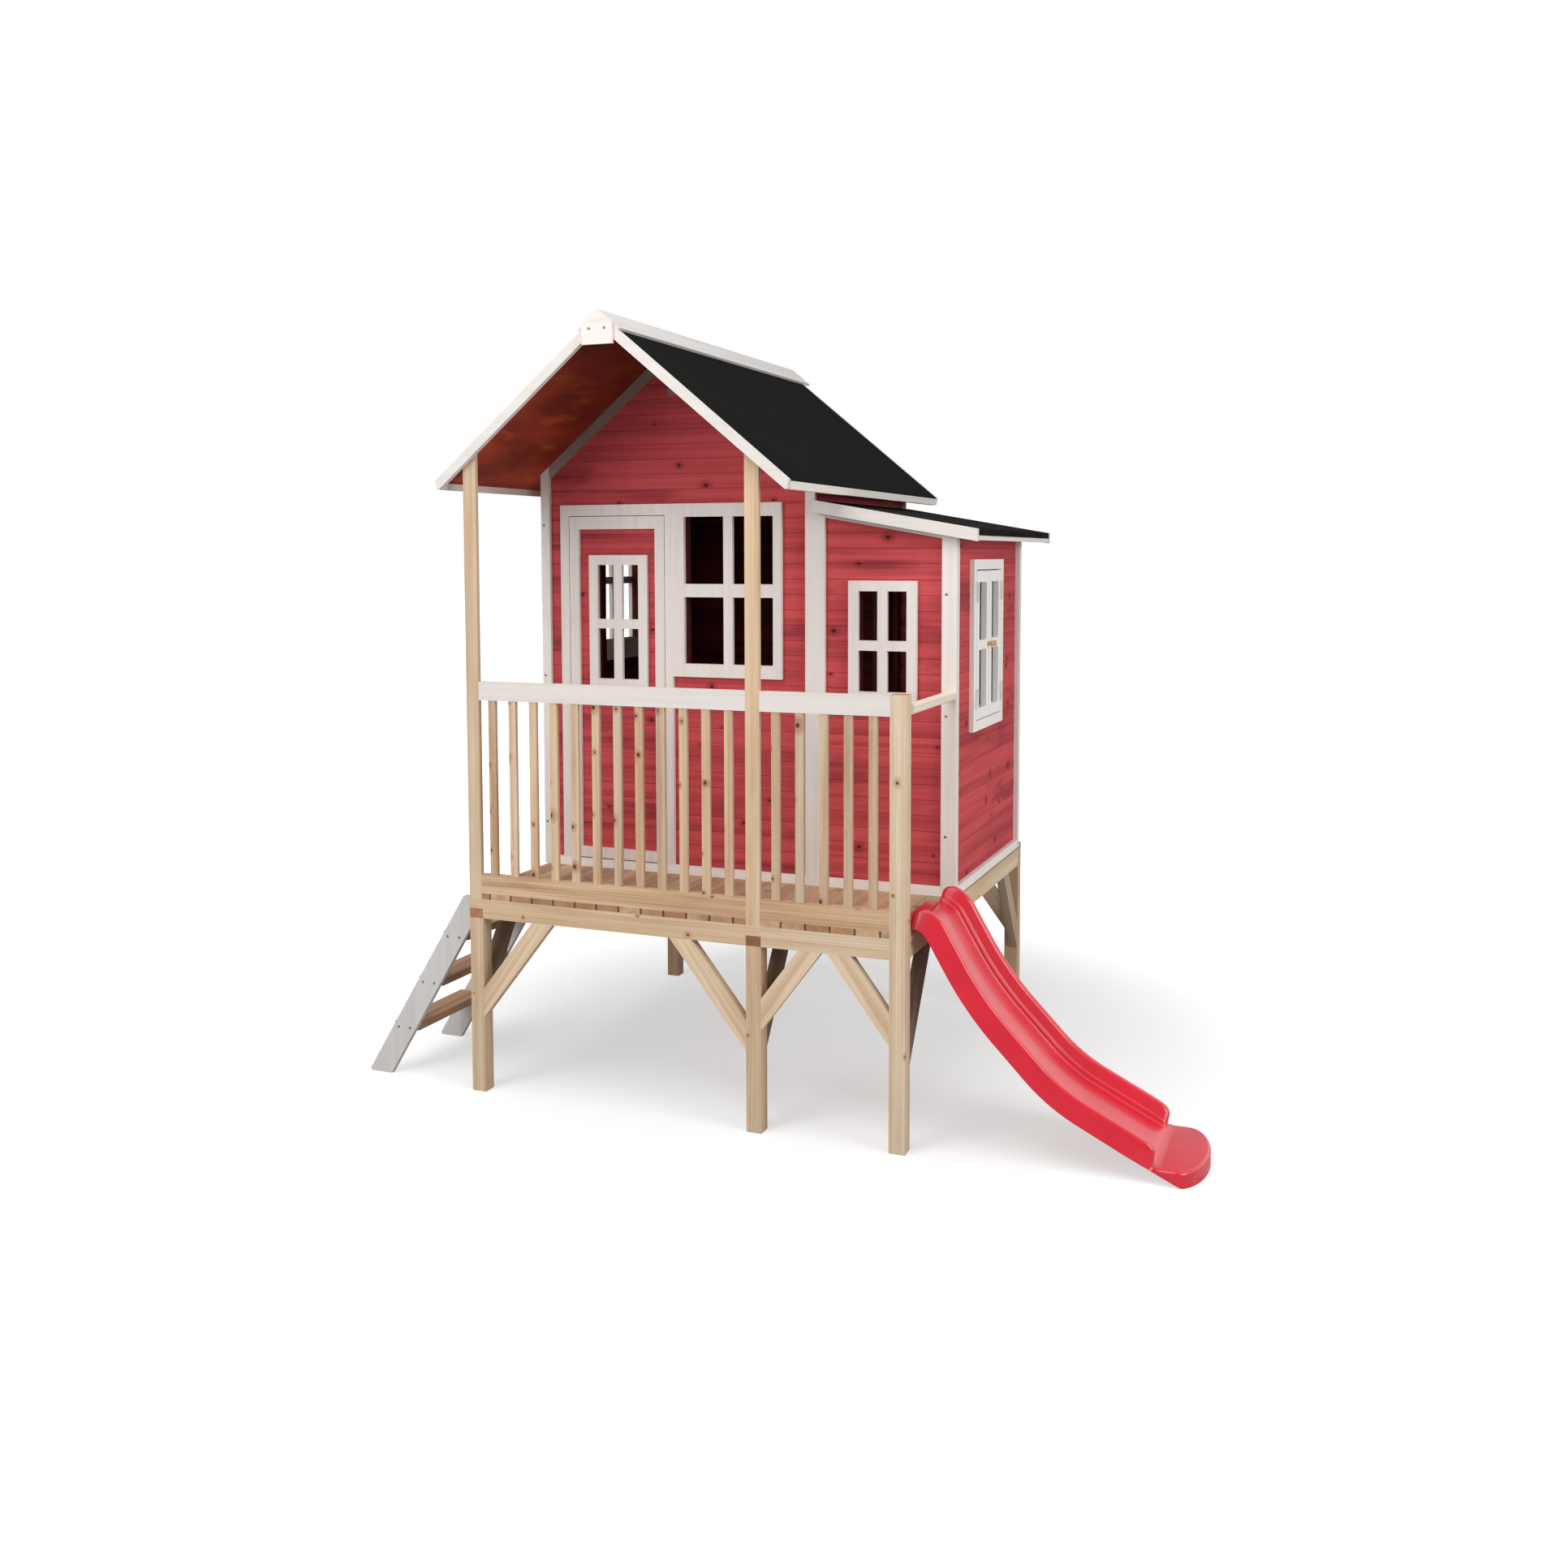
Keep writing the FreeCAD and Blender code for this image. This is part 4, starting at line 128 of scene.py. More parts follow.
class Finish:
    """One node tree, of a material or of the world, whose nodes one method makes."""

    def __init__(self, name, tree=None):
        if tree is None:
            self.material = bpy.data.materials.new(name)
            self.material.use_nodes = True
            tree = self.material.node_tree
        self.tree = tree
        tree.nodes.clear()

    def node(self, kind, settings=None, sockets=None):
        made = self.tree.nodes.new(kind)
        for setting, value in (settings or {}).items():
            setattr(made, setting, value)
        for name, value in (sockets or {}).items():
            if isinstance(name, int):
                socket = made.inputs[name]
            else:
                socket = [one for one in made.inputs if one.name == name and one.enabled][0]
            if isinstance(value, Number):
                value = value.socket
            if isinstance(value, bpy.types.NodeSocket):
                self.tree.links.new(value, socket)
            else:
                socket.default_value = value
        return made

    def mix(self, share, first, second, blend="MIX"):
        made = self.node("ShaderNodeMix", {"data_type": "RGBA", "blend_type": blend},
                         {"Factor": share, "A": first, "B": second})
        return [one for one in made.outputs if one.enabled][0]

    def place(self, kind="Object"):
        """X, Y and Z on the object in metres, or with Normal the direction that the surface faces."""
        where = self.node("ShaderNodeTexCoord").outputs[kind]
        parts = self.node("ShaderNodeSeparateXYZ", None, {0: where})
        return [Number(self, part) for part in parts.outputs]

    def noise(self, x, y, z, detail=3.0, roughness=0.55):
        point = self.node("ShaderNodeCombineXYZ", None, {0: x, 1: y, 2: z}).outputs[0]
        made = self.node("ShaderNodeTexNoise", None,
                         {"Vector": point, "Scale": 1.0, "Detail": detail, "Roughness": roughness})
        return Number(self, made.outputs[0])

    def draw(self, number):
        """A random number between 0 and 1 for each whole number."""
        made = self.node("ShaderNodeTexWhiteNoise", {"noise_dimensions": "1D"}, {"W": number})
        return Number(self, made.outputs["Value"])

    def cover(self, colour, roughness, bump=None, height=0.001, **fixed):
        """The surface shader, with its relief, joined to the output."""
        sockets = {"Base Color": colour, "Roughness": roughness}
        if bump is not None:
            relief = self.node("ShaderNodeBump", None, {"Strength": 1.0, "Distance": height, "Height": bump})
            sockets["Normal"] = relief.outputs[0]
        for name, value in fixed.items():
            sockets[name.replace("_", " ")] = value
        surface = self.node("ShaderNodeBsdfPrincipled", None, sockets)
        self.node("ShaderNodeOutputMaterial", None, {"Surface": surface.outputs[0]})
        return self.material


sky = bpy.data.worlds.new("white studio")
sky.use_nodes = True
stage_scene.world = sky
air = Finish("white studio", sky.node_tree)
rays = air.node("ShaderNodeLightPath")
seen = Number(air, rays.outputs["Is Camera Ray"])
mirrored = Number(air, rays.outputs["Is Glossy Ray"])
toward = air.place("Generated")
# In mirrored rays the backdrop brightens toward the back and toward the right.
backdrop = toward[1].fade(-0.2, 0.4) * (toward[0].fade(-0.1, 0.3) * 1.1 + 0.4)
glow = air.node("ShaderNodeBackground", None,
                {"Color": (1, 1, 1, 1), "Strength": seen * 0.58 + mirrored * (backdrop * 0.75 - 0.2) + 0.42})
air.node("ShaderNodeOutputWorld", None, {"Surface": glow.outputs[0]})

floor_reach = 40.0
floor_mesh = bpy.data.meshes.new("studio_floor")
floor_mesh.from_pydata([(-floor_reach, -floor_reach, 0), (floor_reach, -floor_reach, 0),
                        (floor_reach, floor_reach, 0), (-floor_reach, floor_reach, 0)], [], [(0, 1, 2, 3)])
studio_floor = bpy.data.objects.new("studio_floor", floor_mesh)
stage_scene.collection.objects.link(studio_floor)
ground = Finish("pale studio floor")
rays = ground.node("ShaderNodeLightPath")
seen = Number(ground, rays.outputs["Is Camera Ray"])
x, y, z = ground.place()
away = (x * x + y * y) ** 0.5
matt = ground.node("ShaderNodeBsdfDiffuse", None, {"Color": (0.5, 0.5, 0.5, 1)})
lift = ground.node("ShaderNodeEmission", None,
                   {"Color": (1, 1, 1, 1), "Strength": seen * (away.fade(0.9, 2.6) * 0.6 + 0.48)})
both = ground.node("ShaderNodeAddShader", None, {0: matt.outputs[0], 1: lift.outputs[0]})
ground.node("ShaderNodeOutputMaterial", None, {"Surface": both.outputs[0]})
floor_mesh.materials.append(ground.material)


def lamp(name, place, target, size, power):
    """A square soft lamp that looks at a point on the house."""
    light = bpy.data.lights.new(name, "AREA")
    light.size = size
    light.energy = power
    hung = bpy.data.objects.new(name, light)
    stage_scene.collection.objects.link(hung)
    hung.location = place
    hung.rotation_euler = (Vector(target) - Vector(place)).to_track_quat("-Z", "Y").to_euler()


lamp("overhead_lamp", (-0.4, -2.2, 5.0), (0.0, 0.0, 0.9), 3.6, 135)
lamp("front_lamp", (-2.2, -5.6, 3.0), (0.0, 0.0, 1.0), 3.0, 130)
lamp("right_lamp", (5.4, -2.0, 2.6), (0.3, 0.0, 1.0), 3.0, 155)


# THE STAGE'S TIMBER
# Planed spruce, square sawn, left unpainted: legs, half-lapped beams, braces and deck boards.
# Knots are small and red-brown with a warm ring, and sawn ends are darker than the faces.
mm = 0.001
# The model's sheet counts from the front left leg's corner, this far left of and before the middle.
origin_x = 866 * mm
origin_y = 720.4 * mm


def knots(finish, run, side, chance, gap, reach, size):
    """Two masks, of the dark hearts and of the warm rings of knots strewn along a board."""
    cells = finish.node("ShaderNodeTexVoronoi", {"voronoi_dimensions": "1D"},
                        {"W": run + chance * 37.0, "Scale": 1 / gap, "Randomness": 0.95})
    away = Number(finish, cells.outputs["Distance"]) * gap
    parts = finish.node("ShaderNodeSeparateColor", None, {0: cells.outputs["Color"]})
    drawn = [Number(finish, part) for part in parts.outputs]
    radius = drawn[1] * size + size * 0.5
    off = side - drawn[0] * reach
    far = ((away * away + off * off * 1.5) ** 0.5) / radius
    there = drawn[2] > 0.3
    return far.fade(1.0, 0.45) * there, far.fade(3.4, 0.8) * there


def spruce(name, axes, start, seed, reach=0.09, row=None, gap=0.27, size=0.0055, tones=None, diagonal=None,
           ends=(0.65, 0.3), spread=0.14, stain=None):
    """Unpainted spruce. The letters in axes give the board's length, width and thickness. The two
    shares in ends set the tint of sawn ends, and stain gives a second colour and where it lies, used for the
    sill rail's own pale colour and for painted shade on the braces."""
    light, dark, ring, heart, cut = [shade(code) for code in (
        tones or ("#DCC7AA", "#B4906C", "#A0683B", "#4E2A1B", "#9A5B36"))]
    finish = Finish(name)
    spots = dict(zip("xyz", finish.place()))
    run, wide, deep = [(diagonal(spots) if diagonal else spots)[letter] for letter in axes]
    chance = random.Random(seed).random()
    second_chance = random.Random(seed + 500).random()
    if row:
        count = (spots[row[0]] - row[1]) / row[2]
        chance = finish.draw(count.whole() + seed)
        second_chance = finish.draw(count.whole() + seed + 0.5)
        local = (count - count.whole()) * row[2]
        side = local + (deep - start[1] if row[0] == axes[1] else wide - start[0])
    else:
        side = wide - start[0] + deep - start[1]
    heart_mask, ring_mask = knots(finish, run, side, chance, gap, reach, size)
    bend = ring_mask * 0.004
    shift = chance * 9.0
    broad = finish.noise(run * 0.9 + shift, wide * 42.0 + bend * 900.0 + shift, deep * 42.0, 2.0)
    fine = finish.noise(run * 4.0 + shift, wide * 300.0 + bend * 3000.0, deep * 300.0 + shift, 3.0)
    blotch = finish.noise(run * 3.2 + shift, wide * 14.0, deep * 14.0 + shift, 2.0)
    ring_gap = 0.0085
    lines = ((side + bend + finish.noise(run * 1.4 + shift, wide * 12.0, deep * 12.0, 1.0) * 0.035)
             * 2 * math.pi / ring_gap).wave() * 0.5 + 0.5
    tone = (broad.fade(0.34, 0.7) * 0.5 + lines * 0.14 + fine.fade(0.32, 0.72) * 0.2
            + blotch.fade(0.4, 0.8) * 0.3)
    colour = finish.mix(tone, light, dark)
    colour = finish.mix(second_chance * 0.5, colour, finish.mix(1.0, colour, shade("#F1DABB"), "MULTIPLY"))
    piece_tone = chance * spread + (1.02 - spread)
    tint = finish.node("ShaderNodeHueSaturation", None,
                       {"Value": piece_tone, "Saturation": 0.96, "Color": colour}).outputs[0]
    if ends and diagonal is None:
        face = dict(zip("xyz", finish.place("Normal")))
        end = (abs(face[axes[0]]) > 0.8)
        grain = finish.noise(wide * 160.0, deep * 160.0 + shift, run * 30.0, 2.0).fade(0.3, 0.7)
        tint = finish.mix(end * (grain * 0.2 + ends[0] - 0.1 + second_chance * ends[1]), tint, cut)
        if row:
            # Painted shade: sawn ends darken toward the sides of each board in a row, where the gaps between
            # neighbours lie in shade.
            edge = local.least(row[2] - local).fade(0.004, 0.002)
            tint = finish.mix(end * edge * 0.8, tint, shade("#3A2015"))
    tint = finish.mix(ring_mask * 0.5, tint, ring)
    tint = finish.mix(heart_mask * 0.92, tint, heart)
    # The second colour: painted shade on the braces, and the sill rail's own pale colour.
    if stain:
        tint = finish.mix(stain[0](spots), tint, shade(stain[1]))
    rough = 0.62 + fine * 0.14
    relief = fine * 0.6 + lines * 0.25 - heart_mask * 0.5
    return finish.cover(tint, rough, relief, 0.0006, Specular_IOR_Level=0.2)


def dress(node, material):
    """Give a solid of the model its finish."""
    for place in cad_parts[node].material_slots:
        place.material = material


def corner_of(node):
    """The lowest X, Y and Z that a piece reaches."""
    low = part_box(node)[0]
    return low.x, low.y, low.z


warm_knots = ("#A0683B", "#4E2A1B", "#9A5B36")
pale = ("#E4D2B7", "#C3A27E") + warm_knots
palest = ("#F2E5CF", "#D8BF9C") + warm_knots
brown = ("#BE9F84", "#93715A", "#7A4A2B", "#3F2015", "#7A4A30")
leg_tones = {"front_left_leg": None, "front_middle_leg": None, "front_right_post": pale,
             "back_left_leg": brown, "back_middle_leg": brown, "back_right_leg": None}
for seed, (node, tones) in enumerate(leg_tones.items()):
    low = corner_of(node)
    dress(node, spruce(node + "_spruce", "zxy", low[:2], 11 + seed, tones=tones))
for seed, node in enumerate(("front_beam_long", "front_beam_short", "back_beam")):
    low = corner_of(node)
    dress(node, spruce(node + "_spruce", "xzy", (low[2], low[1]), 31 + seed, tones=pale))
# The right side beam takes the palest tones, painted light that makes its face read as brightly lit cream.
side_beam_tones = {"left_side_beam": None, "middle_beam": brown, "right_side_beam": palest}
for seed, (node, tones) in enumerate(side_beam_tones.items()):
    low = corner_of(node)
    dress(node, spruce(node + "_spruce", "yzx", (low[2], low[0]), 41 + seed, tones=tones))

brace_slope = math.radians(54)
leg_side, middle_leg, right_leg, deck_depth = 45, 897, 1313, 1373
bay_middles = [(leg_side + middle_leg) / 2 * mm - origin_x,
               (middle_leg + leg_side + right_leg) / 2 * mm - origin_x]
bay_border = 0.92 - origin_x
depth_middle = deck_depth / 2 * mm - origin_y
end_frames = 0.65


def brace_spots(spots):
    """Places along and across the leaning braces, which mirror about the middle of each bay. Those
    past end_frames from the middle of the depth stand in the front and the back frame."""
    x, y, z = spots["x"], spots["y"], spots["z"]
    second = x > bay_border
    off_x = abs(x - bay_middles[0]) * (1 - second) + abs(x - bay_middles[1]) * second
    off_y = abs(y - depth_middle)
    outer = off_y > end_frames
    off = off_x * outer + off_y * (1 - outer)
    rest = y * outer + x * (1 - outer)
    return {"x": z * math.sin(brace_slope) - off * math.cos(brace_slope),
            "y": z * math.cos(brace_slope) + off * math.sin(brace_slope),
            "z": rest}


def brace_shadow(spots):
    """Painted shade: the braces under the side beams are darkened, most at the front, as the shadow under the
    stage.
    """
    return (abs(spots["y"] - depth_middle) < end_frames) * ((spots["y"] < 0.0) * 0.4 + 0.35)


dress("leg_braces", spruce("brace_spruce", "xyz", (0.0, 0.0), 52, reach=0.9, gap=0.22, size=0.008,
                           diagonal=brace_spots, stain=(brace_shadow, "#3A2015")))

deck_low = corner_of("deck_boards")
deck_length, deck_gap, deck_count = 1358, 2, 19
deck_rows = ("x", deck_low[0] - mm, (deck_length + deck_gap) / deck_count * mm)
dress("deck_boards", spruce("deck_spruce", "yxz", (deck_low[0], deck_low[2]), 61, reach=0.07, gap=0.33,
                            row=deck_rows, spread=0.3, ends=(0.0, 0.75),
                            tones=("#D3B596", "#AA8262", "#96603A", "#4A2719", "#946543")))

# THE PORCH RAIL
# Two flat posts carry the roof's front. Flat balusters stand on a plain rail, under a white top
# rail, and a square batten with eased edges closes the slide's entry above the chute.
posts_low = corner_of("porch_posts")
post_rows = ("x", posts_low[0] - 0.1, 0.7)
dress("porch_posts", spruce("porch_post_spruce", "zxy", posts_low[:2], 71, reach=0.06, gap=0.19,
                            row=post_rows, size=0.0048,
                            tones=("#DCC6A9", "#BB9978", "#A0683B", "#4E2A1B", "#8E5C3B")))
post_width, first_baluster, half_gap = 42, 31, 22.5
bay_start = (post_width + first_baluster - half_gap) * mm - origin_x
baluster_rows = ("x", bay_start, 0.0691)
baluster_start = (bay_start, posts_low[1] + 0.006)
dress("balusters", spruce("baluster_spruce", "zxy", baluster_start, 83, reach=0.03, gap=0.14,
                          row=baluster_rows, size=0.0072, spread=0.24,
                          tones=("#DFCBB1", "#B68E6B", "#96552F", "#44200F", "#8E5C3B")))
rails_low = corner_of("bottom_rails")
dress("bottom_rails", spruce("bottom_rail_spruce", "xzy", (rails_low[2], rails_low[1]), 91, gap=0.4,
                             tones=("#E2C8A6", "#AD8058", "#A0683B", "#4E2A1B", "#8E5C3B")))


def white_paint(name, run_axis, seed, row=None, tones=None, knot=0.5, gap=0.34, shade_heights=None):
    """White stain on planed spruce, thin enough to show the grain and the darkest knots. The two
    heights in the last argument set where painted shade under the roof turns the white brown."""
    base, streak, stain = [shade(code) for code in (tones or ("#E2DCD6", "#D3CAC2", "#9A8B7E"))]
    finish = Finish(name)
    spots = dict(zip("xyz", finish.place()))
    axes = run_axis + "xyz".replace(run_axis, "")
    run, wide, deep = [spots[letter] for letter in axes]
    chance = random.Random(seed).random()
    if row:
        chance = finish.draw(((spots[row[0]] - row[1]) / row[2]).whole() + seed)
    shift = chance * 7.0
    broad = finish.noise(run * 1.5 + shift, wide * 50.0 + shift, deep * 50.0, 2.0)
    fine = finish.noise(run * 6.0 + shift, wide * 320.0, deep * 320.0 + shift, 3.0)
    worn = finish.noise(run * 5.0, wide * 22.0 + shift, deep * 22.0, 3.0)
    colour = finish.mix(broad.fade(0.35, 0.75) * 0.4 + fine.fade(0.35, 0.8) * 0.25, base, streak)
    heart_mask, ring_mask = knots(finish, run, wide * 0.8 + deep * 0.8, chance, gap, 0.9, 0.006)
    colour = finish.mix((heart_mask * 0.6 + ring_mask * 0.2) * knot, colour, stain)
    colour = finish.mix(worn.fade(0.62, 0.8) * 0.16, colour, shade("#B9A591"))
    if shade_heights:
        # Painted shade: the white turns brown with height, where the roof shades it.
        colour = finish.mix(spots["z"].fade(shade_heights[0], shade_heights[1]) * 0.8, colour, shade("#6B4A3E"))
    return finish.cover(colour, 0.56 + fine * 0.16, fine * 0.5 + broad * 0.4, 0.0005, Specular_IOR_Level=0.25)


dress("top_rails", white_paint("rail_white", "x", 101, tones=("#D9D3CE", "#CAC1BA", "#9A8B7E")))
dress("slide_entry_bar", white_paint("entry_bar_white", "y", 102, tones=("#E6D9C8", "#D2BFA9", "#A98B6C")))


# THE CABIN AND LEAN-TO WALLS
# Bevel-edged spruce boards, stained red after they were planed. The stain is uneven: broad soft
# bands run along each board, faint marks of the planer cross it, and knots stay near black.
# The same red stain inside each room, darker as painted shade of the closed room.
cabin_room = ("#6A2426", "#45161A")
lean_to_room = ("#A8404A", "#7E2C36")


def red_stain(name, run_axis, seed, inner, level=0.605, cover=0.093, room=cabin_room):
    """Red stain on level boards, darkened with the room's painted shade where the letter and sign of inner
    point into it. The boards' joints repeat up the wall from its foot."""
    finish = Finish(name)
    spots = dict(zip("xyz", finish.place()))
    run = spots[run_axis]
    off = spots["y" if run_axis == "x" else "x"]
    z = spots["z"]
    row = (z - level) / cover
    index = row.whole()
    chance = finish.draw(index + seed)
    tone_chance = finish.draw(index + seed + 0.5)
    local = (row - index) * cover
    shift = chance * 11.0
    heart_mask, ring_mask = knots(finish, run, local, chance, 0.26, cover, 0.0066)
    bend = ring_mask * 0.006
    broad = finish.noise(run * 0.7 + shift, (z + bend) * 24.0 + shift, off * 8.0, 2.0)
    cathedral = finish.noise(run * 1.3 + shift, (z + bend) * 62.0 + shift, off * 20.0, 2.0)
    grain = finish.noise(run * 4.0 + shift, (z + bend) * 220.0 + shift, off * 60.0, 3.0)
    chatter = finish.noise(run * 55.0 + shift, z * 7.0 + shift, off * 5.0, 2.0)
    clouds = finish.noise(run * 2.6 + shift, z * 9.0, off * 2.0, 3.0)
    patches = finish.noise(run * 1.3 + shift * 0.3, z * 3.2, off * 2.0, 2.0)
    tone = (broad.fade(0.42, 0.64) * 0.5 + cathedral.fade(0.42, 0.68) * 0.26 + grain.fade(0.35, 0.72) * 0.1
            + chatter.fade(0.4, 0.75) * 0.08)
    colour = finish.mix(tone, shade("#CC5357"), shade("#9F3B40"))
    colour = finish.mix(clouds.fade(0.54, 0.7) * 0.6, colour, shade("#7E2F35"))
    colour = finish.mix(patches.fade(0.54, 0.72) * broad.fade(0.35, 0.6) * 0.65, colour, shade("#63242A"))
    colour = finish.mix(tone_chance.fade(0.3, 1.0) * 0.25, colour, shade("#A83F43"))
    colour = finish.mix(ring_mask * 0.5, colour, shade("#6A2226"))
    colour = finish.mix(heart_mask * 0.9, colour, shade("#341214"))
    joint = local.least(cover - local)
    # Painted light: a middle red along each joint evens out the shade that falls in the grooves between
    # boards.
    colour = finish.mix(joint.fade(0.0034, 0.0016) * 0.45, colour, shade("#B34A4D"))
    face = dict(zip("xyz", finish.place("Normal")))
    # Painted shade on the inner faces, which turn to the room's darker red.
    room_shaded = finish.mix(broad.fade(0.35, 0.7), shade(room[0]), shade(room[1]))
    colour = finish.mix(face[inner[0]] * (1 if inner[1] == "+" else -1) > 0.5, colour, room_shaded)
    colour = finish.mix((abs(face[run_axis]) > 0.8) * 0.85, colour, shade("#3A1816"))
    return finish.cover(colour, 0.66 + grain * 0.14, grain * 0.7 + broad * 0.3, 0.0005,
                        Specular_IOR_Level=0.1)


red_walls = (("front_wall_boards", "x", "y+"), ("back_wall_boards", "x", "y-"),
             ("left_wall_boards", "y", "x+"), ("cabin_side_boards", "y", "x-"),
             ("lean_to_front_boards", "x", "y+"), ("lean_to_back_boards", "x", "y-"),
             ("lean_to_side_boards", "y", "x-"))
for seed, (node, run_axis, inner) in enumerate(red_walls):
    room = lean_to_room if node.startswith("lean_to") else cabin_room
    dress(node, red_stain(node + "_red", run_axis, 120 + seed * 40, inner, room=room))

sill_low, sill_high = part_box("left_window_frame")
studs_low = corner_of("wall_studs")
strip_width, sill_rail_height, stud_reach = 31 * mm, 68 * mm, 29 * mm


def pale_sill(spots):
    """The rail inside the left window's foot is the one frame timber that was left pale."""
    x, y, z = spots["x"], spots["y"], spots["z"]
    top = sill_low.z + strip_width
    return ((x < studs_low[0] + stud_reach) * (z < top) * (z > top - sill_rail_height)
            * (y > sill_low.y + strip_width) * (y < sill_high.y - strip_width))


dress("wall_studs", spruce("stud_spruce", "zxy", studs_low[:2], 131, reach=1.0, gap=0.2, ends=False,
                           tones=("#6A2A28", "#4A1C1B", "#3E1614", "#240B09", "#3E1716"),
                           stain=(pale_sill, "#EAD9C0")))

# THE WHITE TRIMS
# Sawn boards stained white: corner boards, base strips, the slopes under the gable, the door's
# frame and battens, and the strips and bars of each window. They are screwed over the walls.
trim_tones = {
    "barge_boards": ("#D9D3CE", "#CAC2BB", "#9A8B7E"),
    "base_trims": ("#EDE8E2", "#DED7D0", "#9A8B7E"),
    "side_window_frame": ("#F0ECE7", "#E4DDD6", "#9A8B7E"),
    "side_window_front_leaf": ("#F2EEEA", "#E6E0DA", "#9A8B7E"),
    "side_window_back_leaf": ("#F2EEEA", "#E6E0DA", "#9A8B7E"),
}
white_trims = (("corner_trims", "z"), ("base_trims", "x"), ("gable_trims", "x"), ("door_frame", "z"),
               ("door_battens", "z"), ("door_window_frame", "z"), ("front_window_frame", "z"),
               ("lean_to_window_frame", "z"), ("left_window_frame", "z"), ("side_window_frame", "z"),
               ("side_window_front_leaf", "z"), ("side_window_back_leaf", "z"), ("barge_boards", "x"),
               ("eave_fascias", "y"), ("lean_to_roof_trims", "y"), ("ridge_gussets", "x"))
# Painted shade: the gable trims turn brown between these heights under the roof.
gable_shade_heights = (1.55, 2.0)
for seed, (node, run_axis) in enumerate(white_trims):
    dress(node, white_paint(node + "_white", run_axis, 140 + seed, tones=trim_tones.get(node),
                            shade_heights=gable_shade_heights if node == "gable_trims" else None))

# THE DOOR
# A leaf of the same red boards behind white battens, hung inside the frame on two hinges. The
# round knobs on the side window's leaves are the one fitting of plain varnished wood.
dress("door_boards", red_stain("door_red", "x", 530, "y+", level=0.636))
for node in ("side_window_front_knob", "side_window_back_knob"):
    dress(node, spruce(node + "_wood", "xyz", (0.0, 0.0), 171, reach=0.5, ends=False,
                       tones=("#D9C08F", "#C9A86F", "#B98A50", "#8B5A30", "#A9744B")))

# THE ROOFS
# Smooth boards stained brown carry black mineral felt, and two pale grey boards cap the ridge.
# The underside carries painted shade that darkens it toward the ridge, and the lean-to's felt is lighter,
# with dust and painted sheen.
def brown_stain_and_ridge_shade(name, run_axis, seed):
    """Brown stain brushed on broad roof boards, with orange wood showing where it is thin, and painted shade
    that darkens them toward the ridge.
    """
    finish = Finish(name)
    spots = dict(zip("xyz", finish.place()))
    axes = run_axis + "xyz".replace(run_axis, "")
    run, wide, deep = [spots[letter] for letter in axes]
    broad = finish.noise(run * 2.4 + seed, wide * 7.0, deep * 7.0, 3.0)
    grain = finish.noise(run * 6.0, wide * 120.0, deep * 120.0 + seed, 3.0)
    figure = finish.noise(run * 5.0 + seed, wide * 20.0, deep * 20.0, 2.0)
    colour = finish.mix(broad.fade(0.32, 0.62), shade("#A84029"), shade("#7A2A1A"))
    colour = finish.mix(figure.fade(0.52, 0.74) * 0.7, colour, shade("#B85A2A"))
    colour = finish.mix(grain.fade(0.4, 0.8) * 0.3, colour, shade("#9A4224"))
    # Painted shade: the boards darken toward the ridge, where the roof shades its own underside.
    colour = finish.mix(spots["z"].fade(1.95, 2.2) * 0.6, colour, shade("#3C140C"))
    return finish.cover(colour, 0.6 + grain * 0.2, grain, 0.0005, Specular_IOR_Level=0.2)


dress("roof_boards", brown_stain_and_ridge_shade("roof_board_brown", "y", 3.0))
dress("lean_to_roof_boards", brown_stain_and_ridge_shade("lean_to_board_brown", "y", 8.0))


def felt(name, seed, dust_and_sheen):
    """Black mineral felt: fine grit, with cloudy patches of a second colour, dust where the grit lies
    thinner, which on the lean-to is lighter with painted sheen.
    """
    finish = Finish(name)
    x, y, z = finish.place()
    grit = finish.noise(x * 700.0, y * 700.0 + seed, z * 700.0, 2.0, 0.7)
    cloud = finish.noise(x * 6.0 + seed, y * 6.0, z * 6.0, 4.0)
    colour = finish.mix(grit.fade(0.35, 0.75), shade("#0E0E0E"), shade("#222120"))
    colour = finish.mix(cloud.fade(0.35, 0.75) * 0.35, colour, shade(dust_and_sheen))
    return finish.cover(colour, 0.92 + grit * 0.06, grit, 0.0010, Specular_IOR_Level=0.03)


dress("roof_felt", felt("roof_felt_black", 1.0, "#1C1B1A"))
# The lean-to's felt patches are dust and painted sheen, the pale gloss that felt shows when seen flat.
dress("lean_to_roof_felt", felt("lean_to_felt_black", 5.0, "#3A3632"))
dress("ridge_cap", white_paint("ridge_cap_grey", "y", 181, tones=("#CFCBC8", "#B5B0AC", "#8A837E")))

# THE LADDER
# Two grey-white stringers lean on the stage's left beam and hold three dull brown spruce steps.
dress("ladder_stringers", white_paint("stringer_grey", "z", 191, tones=("#CBC7C5", "#B7B2AF", "#8C857F")))
steps_low = corner_of("ladder_steps")
dress("ladder_steps", spruce("step_spruce", "yxz", (steps_low[0], steps_low[2]), 201, reach=0.3, gap=0.3,
                             tones=("#C9A585", "#95705A", "#7A4A2B", "#3F2015", "#8A6048")))

